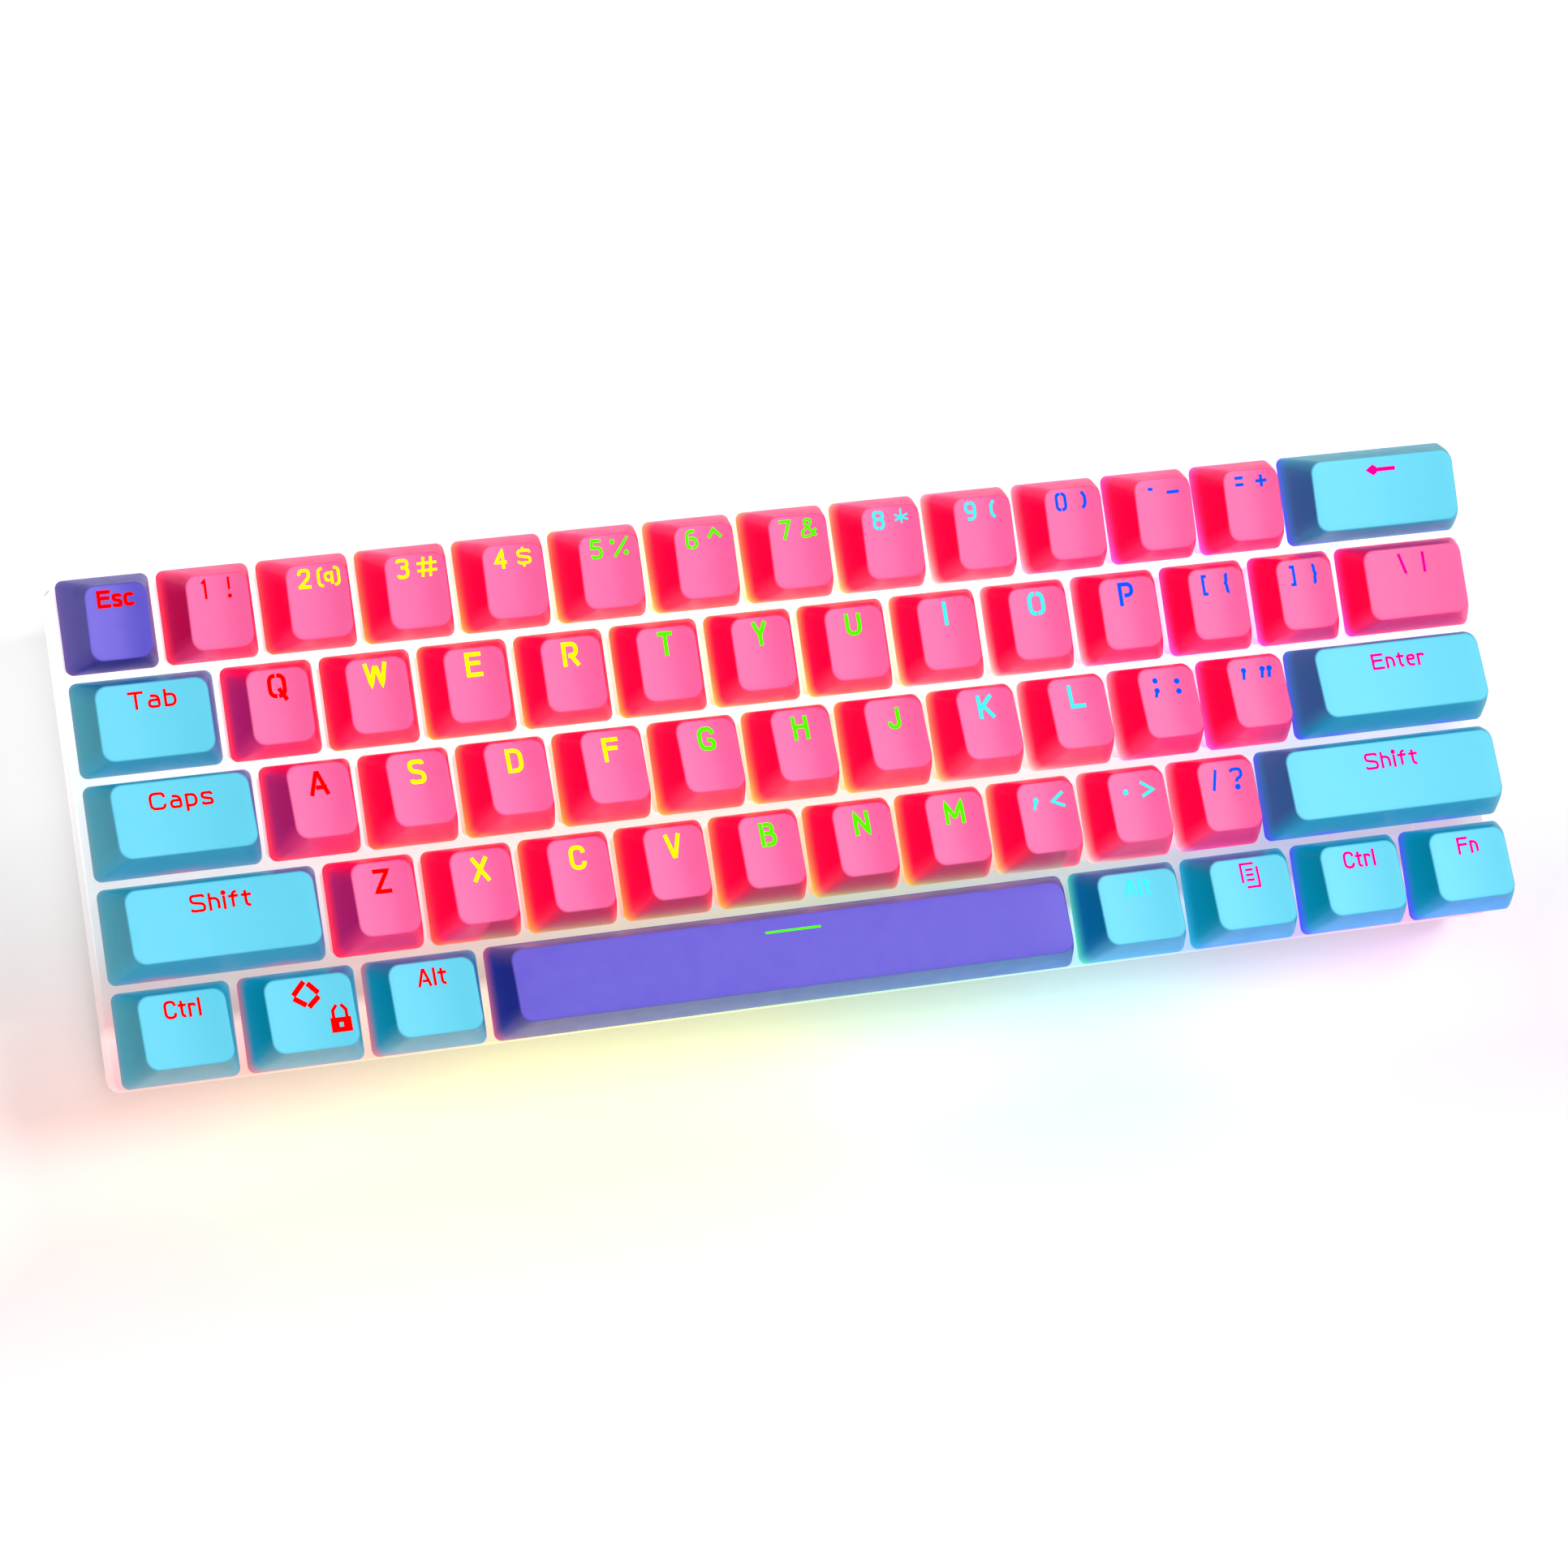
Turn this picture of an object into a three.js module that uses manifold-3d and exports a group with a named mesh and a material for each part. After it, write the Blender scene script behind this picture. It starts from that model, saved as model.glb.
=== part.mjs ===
// A compact mechanical keyboard: 61 sculpted keycaps over spring-loaded switches, clipped into
// a flat plate on a shallow wedge-shaped base. Millimetres, +Z up, +X to the typist's right,
// +Y away from the typist. The origin is under the middle of the keyboard, on the desk.
//
// Everything above the feet is modelled on the "deck", a frame whose z = 0 is the top of the
// switch plate, and the deck is then tilted towards the typist.

import * as THREE from "three";
import { mergeVertices } from "three/addons/utils/BufferGeometryUtils.js";
import Module from "manifold-3d";

const wasm = await Module();
wasm.setup();

// ---------------------------------------------------------------- driving dimensions
const UNIT = 19.05; // key pitch
const ROW_UNITS = 15; // the length of each row, in key units
const KEY_GAP = 1.35; // between the skirts of neighbouring keycaps
const DECK_TILT = 5; // degrees, back edge up
const DECK_HEIGHT = 16.5; // plate top over the desk, at the middle of the deck
const GAP = 0.3; // between pieces that touch on the real keyboard

const SKIRT_Z = 6.2; // the keycaps' lower edge, at rest
const SKIRT_RADIUS = 1.5;
const TOP_RADIUS = 2.35;
const SIDE_INSET = 2.85; // how far the top face stands in from the skirt at each side
const CAP_WALL = 1.25;
const CAP_TOP = 1.5; // thickness of the keycap's top
const HOLLOW_EASE = 0.25; // the walls are this much thinner at the hollow's ceiling
const STEM_BOSS = 5.2; // square boss under the keycap's top
const STEM_BOSS_Z = 6.9; // where the boss ends and the slider starts
const SLIDER = { x: 6.8, y: 5.4, bottom: 1.5 };

// wireReach is how far a stabilizer's opening runs from its key's middle line to the wire's side.
const PLATE = { length: 284, depth: 93.4, thickness: 1.5, corner: 2, wireReach: 7.6 };
const SWITCH_HOLE = 14;
const HOUSING = { lower: 13.4, flange: 15.6, top: 9.6, topZ: 6.6, bottomZ: -3.9 };
const POCKET = { x: 7.6, y: 6.6, floor: -2.9 };
const RIB = { low: -3.9, high: -3.1, near: 3.6, far: 5.0, width: 1.4 };

const BOARD = { length: 278.4, depth: 88, corner: 2, top: -5, thickness: 1.6 };
const SLIDER_HOLE = { x: 6.4, y: 6.8 }; // in the board, under each stabilizer slider
// The controller and its support parts, square, under the board.
const CHIPS = [
  { x: -60, size: 9, height: 1.1 },
  { x: -82, size: 5, height: 1.4 },
  { x: 20, size: 7, height: 1.1 },
];
const CHIP_Y = 14;
const LIGHT = { x: 3.4, y: 2.9, offset: 4.75, height: 0.9 };
const PORT = {
  x: -100, width: 8.94, height: 3.26, depth: 7.4, mouthY: 45.6, wall: 0.3, back: 1.2,
  tongue: { width: 6.7, thickness: 0.7, setBack: 0.8 },
};

const TRAY = {
  length: 284.2, depth: 93.8, corner: 2.5, innerCorner: 0.6, rim: -1.8, shoulder: -5.2, wall: 1.7,
};
const TRAY_SLOPE = 0.4; // how fast the sides draw in below the shoulder
const TRAY_DEEP = -24; // a level below the tilted underside
const UNDERSIDE = 1.9; // the tray's underside over the desk
const FLOOR = 2.2; // thickness of the tray's floor
const THICKENING = 0.5; // of the tray's walls towards its floor
const POSTS = { radius: 3, y: 29, xs: [-128, -43, 48, 128] };

const FOOT = {
  length: 240, width: 10, corner: 4.5, height: UNDERSIDE - GAP, frontY: -36, rearY: 33,
};

// A stabilizer keeps a long key level: two sliders joined by a wire that turns on its bar.
const STAB = {
  slider: { x: 4.6, y: 5.2, bottom: -1.6 },
  slot: { low: -1.05, high: 2.4, depth: 4.0 },
  barOffset: 8.5, // from the key's middle line to the wire's bar
  barZ: -3,
  wireRadius: 0.8,
  armLength: 9.4,
  liftLength: 9, // from the bar to the middle of the slider's slot
  bend: 1.6,
  hook: 1.3, // the hook ends this far past the bar
  ledge: 0.2, // under the bar, and over the ledge that carries it
  housing: { x: 6.8, y: 10.8, low: -4.4, high: 5.6, channelX: 5.2, channelY: 5.9, mouth: 2.2 },
};
const TRAVEL = 4;
const ARM_ANGLE = Math.asin(TRAVEL / STAB.liftLength); // the arm's rise at rest

// Each row's keycap profile: height of the top face at its front and back edges over the skirt,
// and how far those two edges stand in from the skirt.
const ROWS = [
  { y: 2 * UNIT, front: 8.9, back: 9.4, frontInset: 1.2, backInset: 2.5 },
  { y: UNIT, front: 7.4, back: 7.0, frontInset: 1.9, backInset: 1.7 },
  { y: 0, front: 10.5, back: 8.1, frontInset: 2.8, backInset: 0.95 },
  { y: -UNIT, front: 10.1, back: 8.3, frontInset: 2.6, backInset: 1.2 },
  { y: -2 * UNIT, front: 9.2, back: 7.2, frontInset: 2.4, backInset: 1.4 },
];

// The layout, left to right. A group's keycaps are one piece, joined by hidden webs.
const key = (name, units = 1) => ({ name, caps: [units] });
const keyGroup = (name, ...caps) => ({ name, caps });
const letters = (text) => [...text].map((letter) => key("key_" + letter));
const LAYOUT = [
  [key("key_esc"), ...letters("12345678"), keyGroup("keys_nine_to_equals", 1, 1, 1, 1),
    key("key_backspace", 2)],
  [key("key_tab", 1.5), ...letters("qwertyuiop"), keyGroup("keys_brackets", 1, 1, 1.5)],
  [key("key_caps_lock", 1.75), ...letters("asdfghjkl"), keyGroup("keys_semicolon_quote", 1, 1),
    key("key_enter", 2.25)],
  [key("key_left_shift", 2.25), ...letters("zxcvbnm"), keyGroup("keys_comma_to_slash", 1, 1, 1),
    key("key_right_shift", 2.75)],
  [keyGroup("keys_left_modifiers", 1.25, 1.25, 1.25), key("key_space", 6.25),
    keyGroup("keys_right_modifiers", 1.25, 1.25, 1.25, 1.25)],
];

const COLOURS = {
  letter: 0xff6db0,
  function: 0x6fdcf6,
  accent: 0x6f66dd,
  plate: 0xf4f4f6,
  tray: 0xf2f2f4,
  housing: 0xf7f7fa,
  board: 0xe9edf0,
  wire: 0xb9bcc2,
  foot: 0x9a9ca2,
};
const FUNCTION_KEYS = ["key_backspace", "key_tab", "key_caps_lock", "key_enter",
  "key_left_shift", "key_right_shift", "keys_left_modifiers", "keys_right_modifiers"];
const ACCENT_KEYS = ["key_esc", "key_space"];

// ---------------------------------------------------------------- solids
// A closed three.js geometry as a solid that can be joined and cut.
function toSolid(geometry) {
  const bare = geometry.index ? geometry.toNonIndexed() : geometry.clone();
  bare.deleteAttribute("normal");
  bare.deleteAttribute("uv");
  const merged = mergeVertices(bare, 1e-4);
  return new wasm.Manifold(new wasm.Mesh({
    numProp: 3,
    vertProperties: merged.attributes.position.array,
    triVerts: new Uint32Array(merged.index.array),
  }));
}

function toGeometry(solid) {
  const mesh = solid.getMesh();
  const geometry = new THREE.BufferGeometry();
  geometry.setAttribute("position", new THREE.BufferAttribute(mesh.vertProperties, 3));
  geometry.setIndex(new THREE.BufferAttribute(mesh.triVerts, 1));
  geometry.computeVertexNormals();
  return geometry;
}

const join = (solids) => solids.reduce((whole, piece) => whole.add(piece));
const cut = (solid, tools) => tools.reduce((rest, tool) => rest.subtract(tool), solid);
const move = (solid, x, y, z) => solid.translate([x, y, z]);

function block([x0, x1], [y0, y1], [z0, z1]) {
  const geometry = new THREE.BoxGeometry(x1 - x0, y1 - y0, z1 - z0);
  geometry.translate((x0 + x1) / 2, (y0 + y1) / 2, (z0 + z1) / 2);
  return toSolid(geometry);
}

const about = (centre, size) => [centre - size / 2, centre + size / 2];

// A ring of points round a rectangle: its front edge left to right, then its back edge right to
// left, each front point facing a back point with the same x.
function rectangleRing({ width, front, back, radius = 0, arc = 0, between = 0, height }) {
  const columns = [];
  const half = width / 2;
  for (let i = 0; i <= arc; i++) {
    const turn = arc ? (i / arc) * (Math.PI / 2) : 0;
    columns.push({ x: -half + radius * (1 - Math.cos(turn)), in: radius * (1 - Math.sin(turn)) });
  }
  for (let i = 1; i <= between; i++)
    columns.push({ x: (width - 2 * radius) * (i / (between + 1) - 0.5), in: 0 });
  for (const { x, in: inset } of columns.slice(0, arc + 1).reverse())
    columns.push({ x: -x, in: inset });
  const place = (x, y) => new THREE.Vector3(x, y, height(x, y));
  return [
    ...columns.map((c) => place(c.x, front + c.in)),
    ...columns.map((c) => place(c.x, back - c.in)).reverse(),
  ];
}

// A closed solid through a stack of rings that all have the same number of points. Its two ends
// are filled by strips between facing points, so an end may be dished.
function loft(rings) {
  const count = rings[0].length;
  const index = [];
  const quad = (a, b, c, d) => index.push(a, b, c, a, c, d);
  for (let level = 0; level + 1 < rings.length; level++)
    for (let i = 0; i < count; i++) {
      const next = (i + 1) % count;
      const low = level * count;
      const high = low + count;
      quad(low + i, low + next, high + next, high + i);
    }
  const last = (rings.length - 1) * count;
  for (let i = 0; i + 1 < count / 2; i++) {
    const facing = count - 1 - i;
    quad(i + 1, i, facing, facing - 1);
    quad(last + i, last + i + 1, last + facing - 1, last + facing);
  }
  const geometry = new THREE.BufferGeometry();
  geometry.setAttribute("position", new THREE.Float32BufferAttribute(
    rings.flat().flatMap((p) => [p.x, p.y, p.z]), 3));
  geometry.setIndex(index);
  return geometry;
}

const flatAt = (z) => () => z;

// A rounded slab, centred, between two levels.
function slab(length, depth, radius, [z0, z1]) {
  const ring = (z) => rectangleRing(
    { width: length, front: -depth / 2, back: depth / 2, radius, arc: 3, height: flatAt(z) });
  return toSolid(loft([ring(z0), ring(z1)]));
}

// ---------------------------------------------------------------- layout
// Where every keycap stands: x is its centre, units its width.
const layout = LAYOUT.flatMap((keys, row) => {
  let edge = -ROW_UNITS / 2;
  return keys.map(({ name, caps }) => ({
    name,
    row,
    caps: caps.map((units) => {
      const x = (edge + units / 2) * UNIT;
      edge += units;
      return { x, y: ROWS[row].y, units };
    }),
  }));
});
const allCaps = layout.flatMap((entry) => entry.caps);
const isLong = (cap) => cap.units >= 2;
const stabReach = (cap) => (cap.units > 3 ? 50 : 11.9);
// The wire's bar is in front of its key, but behind the space bar, where the base has room.
const barSide = (cap) => (cap.units > 3 ? 1 : -1);

// ---------------------------------------------------------------- keycaps
function dishDepth(units) {
  if (units > 3) return 0;
  return units > 1.1 ? 0.45 : 0.7;
}

// One keycap with its switch stem, and a long key's two stabilizer sliders. Its own frame has
// x = y = 0 at the key's centre and the deck's heights.
function keycap(row, cap) {
  const profile = ROWS[row];
  const width = cap.units * UNIT - KEY_GAP;
  const half = (UNIT - KEY_GAP) / 2;
  const topFront = -half + profile.frontInset;
  const topBack = half - profile.backInset;
  const topHalf = width / 2 - SIDE_INSET;
  const dish = dishDepth(cap.units);
  const slope = (profile.back - profile.front) / (topBack - topFront);
  const topHeight = (x, y) =>
    SKIRT_Z + profile.front + slope * (y - topFront) - dish * (1 - (x / topHalf) ** 2);
  const outside = toSolid(loft([
    rectangleRing({ width, front: -half, back: half, radius: SKIRT_RADIUS, arc: 2, between: 1,
      height: flatAt(SKIRT_Z) }),
    rectangleRing({ width: 2 * topHalf, front: topFront, back: topBack, radius: TOP_RADIUS,
      arc: 2, between: 1, height: topHeight }),
  ]));
  const ceiling = SKIRT_Z + Math.min(profile.front, profile.back) - dish - CAP_TOP;
  const hollow = toSolid(loft([
    rectangleRing({ width: width - 2 * CAP_WALL, front: -half + CAP_WALL, back: half - CAP_WALL,
      height: flatAt(SKIRT_Z - 0.01) }),
    rectangleRing({ width: 2 * (topHalf - CAP_WALL + HOLLOW_EASE), front: topFront + CAP_WALL,
      back: topBack - CAP_WALL, height: flatAt(ceiling) }),
  ]));
  const into = ceiling + CAP_TOP / 3; // the stems run this far into the top
  const stem = [
    block(about(0, STEM_BOSS), about(0, STEM_BOSS), [STEM_BOSS_Z - 0.2, into]),
    block(about(0, SLIDER.x), about(0, SLIDER.y), [SLIDER.bottom, STEM_BOSS_Z]),
  ];
  if (isLong(cap))
    for (const x of [-stabReach(cap), stabReach(cap)])
      stem.push(move(stabilizerSlider(barSide(cap), into), x, 0, 0));
  return join([cut(outside, [hollow]), ...stem]);
}

// A stabilizer's slider, with the slot that the wire's arm enters from the bar's side.
function stabilizerSlider(side, top) {
  const { slider, slot } = STAB;
  const open = (side * (slider.y + 1)) / 2;
  const blind = side * (slider.y / 2 - slot.depth);
  return cut(block(about(0, slider.x), about(0, slider.y), [slider.bottom, top]), [
    block(about(0, slider.x + 1), [Math.min(open, blind), Math.max(open, blind)],
      [slot.low, slot.high]),
  ]);
}

// Keycaps of a group side by side, with a low web across each gap.
function keyPiece({ row, caps }) {
  const solids = caps.map((cap) => move(keycap(row, cap), cap.x, cap.y, 0));
  for (const cap of caps.slice(1)) {
    const seam = cap.x - (cap.units / 2) * UNIT;
    solids.push(block(about(seam, KEY_GAP + 1.2), about(cap.y, 3), [SKIRT_Z, SKIRT_Z + 1.2]));
  }
  return join(solids);
}

// ---------------------------------------------------------------- switches and stabilizers
function switchHousing() {
  const square = (size, z) => rectangleRing(
    { width: size, front: -size / 2, back: size / 2, height: flatAt(z) });
  const { lower, flange, top, topZ, bottomZ } = HOUSING;
  const outside = toSolid(loft([
    square(lower, bottomZ), square(lower, GAP), square(flange, GAP), square(top, topZ)]));
  return cut(outside, [
    block(about(0, POCKET.x), about(0, POCKET.y), [POCKET.floor, topZ + 1]),
  ]);
}

// The guide of one stabilizer slider: a channel with a slit for the wire's arm, and a hook that
// holds the wire's bar.
function stabilizerHousing(side) {
  const { housing, barOffset, wireRadius, barZ, hook, ledge } = STAB;
  const edge = (side * housing.y) / 2;
  const hookEnd = side * (barOffset + wireRadius + hook);
  const lip = side * (barOffset + wireRadius + GAP);
  const span = (a, b) => [Math.min(a, b), Math.max(a, b)];
  const tall = [housing.low - 1, housing.high + 1];
  const ledgeTop = barZ - wireRadius - ledge;
  return cut(
    join([
      block(about(0, housing.x), about(0, housing.y), [housing.low, housing.high]),
      block(about(0, housing.x), span(edge * 0.9, hookEnd), [housing.low, ledgeTop]),
      block(about(0, housing.x), span(lip, hookEnd), [housing.low, barZ]),
    ]),
    [
      block(about(0, housing.channelX), about(0, housing.channelY), tall),
      block(about(0, housing.mouth), span(0, edge * 1.02), [ledgeTop, tall[1]]),
    ],
  );
}

// All housings in one piece, joined by thin ribs under the plate.
function switchHousings() {
  const single = switchHousing();
  const pieces = allCaps.map((cap) => move(single, cap.x, cap.y, 0));
  for (const cap of allCaps.filter(isLong)) {
    const guide = stabilizerHousing(barSide(cap));
    for (const x of [-stabReach(cap), stabReach(cap)])
      pieces.push(move(guide, cap.x + x, cap.y, 0));
  }
  ROWS.forEach(({ y }, row) => {
    const caps = layout.filter((entry) => entry.row === row).flatMap((entry) => entry.caps);
    const first = caps[0];
    const last = caps[caps.length - 1];
    // Away from the arms of the wires.
    const side = -barSide(caps.find(isLong) ?? first);
    const ends = [y + side * RIB.near, y + side * RIB.far];
    pieces.push(block(
      [first.x - (isLong(first) ? stabReach(first) : 0),
        last.x + (isLong(last) ? stabReach(last) : 0)],
      [Math.min(...ends), Math.max(...ends)], [RIB.low, RIB.high]));
  });
  // Across the rows, each rib stands under the overlap of a housing in one row and the next.
  const columns = [[-5.25, 4.25], [-5.375, 4.625], [-5, 4.5], [-4.5625, 4.3125]];
  columns.forEach((pair, row) => pair.forEach((units) => {
    pieces.push(block(about(units * UNIT, RIB.width),
      [ROWS[row + 1].y, ROWS[row].y], [RIB.low, RIB.high]));
  }));
  return join(pieces);
}

// A stabilizer wire: a bar and two arms that rise to the sliders, bent round at each corner.
function stabilizerWire(cap) {
  const { bend, wireRadius, armLength, barOffset, barZ } = STAB;
  const side = barSide(cap);
  const reach = stabReach(cap);
  const along = new THREE.Vector3(1, 0, 0);
  const arm = new THREE.Vector3(0, -side * Math.cos(ARM_ANGLE), Math.sin(ARM_ANGLE));
  const normal = new THREE.Vector3().crossVectors(arm, along);
  const stations = [];
  const addStation = (x, out, heading) => {
    const centre = new THREE.Vector3(x, side * barOffset, barZ).addScaledVector(arm, out);
    const across = new THREE.Vector3().crossVectors(normal, heading).normalize();
    const ring = [];
    for (let i = 0; i < 8; i++) {
      const turn = ((i + 0.5) / 8) * 2 * Math.PI;
      ring.push(centre.clone().addScaledVector(across, -wireRadius * Math.cos(turn))
        .addScaledVector(normal, -wireRadius * Math.sin(turn)));
    }
    stations.push(ring);
  };
  const inward = arm.clone().negate();
  const diagonalIn = inward.clone().add(along);
  const diagonalOut = arm.clone().add(along);
  const short = bend * (1 - Math.SQRT1_2);
  addStation(-reach, armLength, inward);
  addStation(-reach, bend, inward);
  addStation(-reach + short, short, diagonalIn);
  addStation(-reach + bend, 0, along);
  addStation(reach - bend, 0, along);
  addStation(reach - short, short, diagonalOut);
  addStation(reach, bend, arm);
  addStation(reach, armLength, arm);
  return move(toSolid(loft(stations)), cap.x, cap.y, 0);
}

// ---------------------------------------------------------------- plate, board, base, feet
function switchPlate() {
  const through = [-PLATE.thickness - 1, 1];
  const holes = allCaps.map((cap) =>
    block(about(cap.x, SWITCH_HOLE), about(cap.y, SWITCH_HOLE), through));
  for (const cap of allCaps.filter(isLong)) {
    const side = barSide(cap);
    const ends = [cap.y - side * (STAB.housing.y / 2 + GAP), cap.y + side * PLATE.wireReach];
    for (const x of [-stabReach(cap), stabReach(cap)])
      holes.push(block(about(cap.x + x, STAB.housing.x + 2 * GAP),
        [Math.min(...ends), Math.max(...ends)], through));
  }
  return cut(slab(PLATE.length, PLATE.depth, PLATE.corner, [-PLATE.thickness, 0]), holes);
}

// The circuit board with a light under each switch, a controller chip and its support parts.
function circuitBoard() {
  const { length, depth, corner, top, thickness } = BOARD;
  const under = top - thickness;
  const board = cut(
    slab(length, depth, corner, [under, top]),
    allCaps.filter(isLong).flatMap((cap) => [-stabReach(cap), stabReach(cap)].map((x) =>
      block(about(cap.x + x, SLIDER_HOLE.x), about(cap.y, SLIDER_HOLE.y),
        [under - 1, top + 1]))),
  );
  const lights = allCaps.map((cap) => block(about(cap.x, LIGHT.x),
    about(cap.y + LIGHT.offset, LIGHT.y), [top - 0.2, top + LIGHT.height]));
  const chips = CHIPS.map(({ x, size, height }) =>
    block(about(x, size), about(CHIP_Y, size), [under - height, under + 0.2]));
  return join([board, ...lights, ...chips]);
}

// The charging and data socket: an oblong metal shell with a tongue, open at the back.
function usbPort() {
  const { width, height, wall, depth, back, tongue } = PORT;
  const oblong = (inset, z) => rectangleRing({
    width: width - 2 * inset, front: -height / 2 + inset, back: height / 2 - inset,
    radius: height / 2 - inset - 0.05, arc: 3, height: flatAt(z) });
  const shell = cut(toSolid(loft([oblong(0, 0), oblong(0, depth)])), [
    toSolid(loft([oblong(wall, back), oblong(wall, depth + 1)])),
  ]);
  return join([shell, block(about(0, tongue.width), about(0, tongue.thickness),
    [back / 2, depth - tongue.setBack])]);
}

const toRadians = (degrees) => THREE.MathUtils.degToRad(degrees);

// Everything below a level over the desk, in the deck's frame.
function belowLevel(level) {
  const size = 400;
  const geometry = new THREE.BoxGeometry(size, size, size);
  geometry.translate(0, 0, level - DECK_HEIGHT - size / 2);
  geometry.rotateX(-toRadians(DECK_TILT));
  return toSolid(geometry);
}

// The base: thin upright walls round the deck that draw in to a level underside, with posts
// that carry the circuit board, and a window for the socket.
function baseTray() {
  const { length, depth, corner, innerCorner, rim, shoulder, wall } = TRAY;
  const ring = (inset, z, radius = corner) => rectangleRing({
    width: length - 2 * inset, front: -depth / 2 + inset, back: depth / 2 - inset,
    radius, arc: 3, height: flatAt(z) });
  const draw = TRAY_SLOPE * (shoulder - TRAY_DEEP);
  const outside = toSolid(loft([ring(draw, TRAY_DEEP), ring(0, shoulder), ring(0, rim)]));
  const inside = toSolid(loft([
    ring(draw + wall + THICKENING, TRAY_DEEP, innerCorner), ring(wall, shoulder, innerCorner),
    ring(wall, rim + 1, innerCorner)]));
  const postTop = BOARD.top - BOARD.thickness - GAP;
  const posts = POSTS.xs.flatMap((x) => [-POSTS.y, POSTS.y].map((y) => {
    const geometry = new THREE.CylinderGeometry(POSTS.radius, POSTS.radius, -TRAY_DEEP, 12);
    geometry.rotateX(Math.PI / 2);
    geometry.translate(x, y, postTop + TRAY_DEEP / 2);
    return toSolid(geometry);
  }));
  const window = block(about(PORT.x, PORT.width + 2 * GAP), [depth / 2 - 6, depth / 2 + 1],
    about(portMiddle, PORT.height + 2 * GAP));
  const hollow = cut(inside, [belowLevel(UNDERSIDE + FLOOR)]);
  const shell = cut(outside, [belowLevel(UNDERSIDE), hollow, window]);
  return join([shell, ...posts.map((post) => cut(post, [belowLevel(UNDERSIDE + FLOOR / 2)]))]);
}
const portMiddle = BOARD.top - BOARD.thickness - GAP - PORT.height / 2;

// ---------------------------------------------------------------- the keyboard
const keyboard = new THREE.Group();
const deck = new THREE.Group();
deck.rotation.x = toRadians(DECK_TILT);
deck.position.z = DECK_HEIGHT;
keyboard.add(deck);

function addMesh(parent, name, solid, color, roughness, metalness = 0) {
  const material = new THREE.MeshStandardMaterial({ color, roughness, metalness });
  const mesh = new THREE.Mesh(toGeometry(solid), material);
  mesh.name = name;
  parent.add(mesh);
  return mesh;
}

addMesh(deck, "base_tray", baseTray(), COLOURS.tray, 0.45);
addMesh(deck, "switch_plate", switchPlate(), COLOURS.plate, 0.4, 0.3);
addMesh(deck, "switch_housings", switchHousings(), COLOURS.housing, 0.35);
addMesh(deck, "circuit_board", circuitBoard(), COLOURS.board, 0.5);
const port = addMesh(deck, "usb_port", usbPort(), COLOURS.wire, 0.3, 1);
port.rotation.x = -Math.PI / 2; // the mouth faces the back
port.position.set(PORT.x, PORT.mouthY - PORT.depth, portMiddle);

for (const { name, row, caps } of layout) {
  let color = COLOURS.letter;
  if (FUNCTION_KEYS.includes(name)) color = COLOURS.function;
  if (ACCENT_KEYS.includes(name)) color = COLOURS.accent;
  addMesh(deck, name, keyPiece({ row, caps }), color, 0.4);
}
for (const { name, caps } of layout.filter((entry) => isLong(entry.caps[0])))
  addMesh(deck, name.replace("key_", "stabilizer_wire_"), stabilizerWire(caps[0]),
    COLOURS.wire, 0.25, 1);

for (const [name, y] of [["foot_strip_front", FOOT.frontY], ["foot_strip_rear", FOOT.rearY]]) {
  const strip = slab(FOOT.length, FOOT.width, FOOT.corner, [0, FOOT.height]);
  addMesh(keyboard, name, strip, COLOURS.foot, 0.9).position.y = y;
}

// The origin is under the middle of the whole keyboard.
const bounds = new THREE.Box3().setFromObject(keyboard, true);
keyboard.position.y = -(bounds.min.y + bounds.max.y) / 2;

export default keyboard;
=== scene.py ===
"""Looks for a compact mechanical keyboard: detailed keycaps with lit legends, switches, stabilizers,
plate, board, base and feet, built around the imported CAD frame."""
import math

import bmesh
import bpy
from mathutils import Matrix, Vector


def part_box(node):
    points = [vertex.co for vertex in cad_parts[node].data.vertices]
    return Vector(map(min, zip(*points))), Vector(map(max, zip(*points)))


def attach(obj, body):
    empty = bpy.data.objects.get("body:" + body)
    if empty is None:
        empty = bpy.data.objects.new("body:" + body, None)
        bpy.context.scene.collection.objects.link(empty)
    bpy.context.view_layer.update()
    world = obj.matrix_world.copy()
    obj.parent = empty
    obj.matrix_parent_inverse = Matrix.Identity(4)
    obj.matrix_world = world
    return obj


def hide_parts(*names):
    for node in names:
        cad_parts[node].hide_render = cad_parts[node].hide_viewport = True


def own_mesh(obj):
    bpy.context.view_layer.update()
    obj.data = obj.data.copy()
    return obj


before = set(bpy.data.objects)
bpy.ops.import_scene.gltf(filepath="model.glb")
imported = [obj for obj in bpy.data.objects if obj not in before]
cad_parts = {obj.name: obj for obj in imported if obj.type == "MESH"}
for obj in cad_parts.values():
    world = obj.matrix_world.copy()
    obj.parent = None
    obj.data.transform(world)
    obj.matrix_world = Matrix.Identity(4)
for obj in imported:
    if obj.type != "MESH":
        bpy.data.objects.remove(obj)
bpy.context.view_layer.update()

# ---- sizes, in millimetres
MM = 0.001
UNIT = 19.05  # key pitch
ROW_UNITS = 15
KEY_GAP = 1.35
DECK_TILT = math.radians(5)
PLATE_THICKNESS = 1.5

SKIRT_Z = 6.2  # the keycaps' lower edge over the plate
SKIRT_HALF = (UNIT - KEY_GAP) / 2
SKIRT_RADIUS = 1.5
TOP_RADIUS = 2.35
SIDE_INSET = 2.85
CAP_WALL = 1.25
CAP_TOP = 1.5
DISH = {"single": 0.75, "wide": 0.25}  # how deep the top faces dip in their middle
CROWN = 0.35  # how high the space bar's top swells in its middle
TRAVEL = 4

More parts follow.
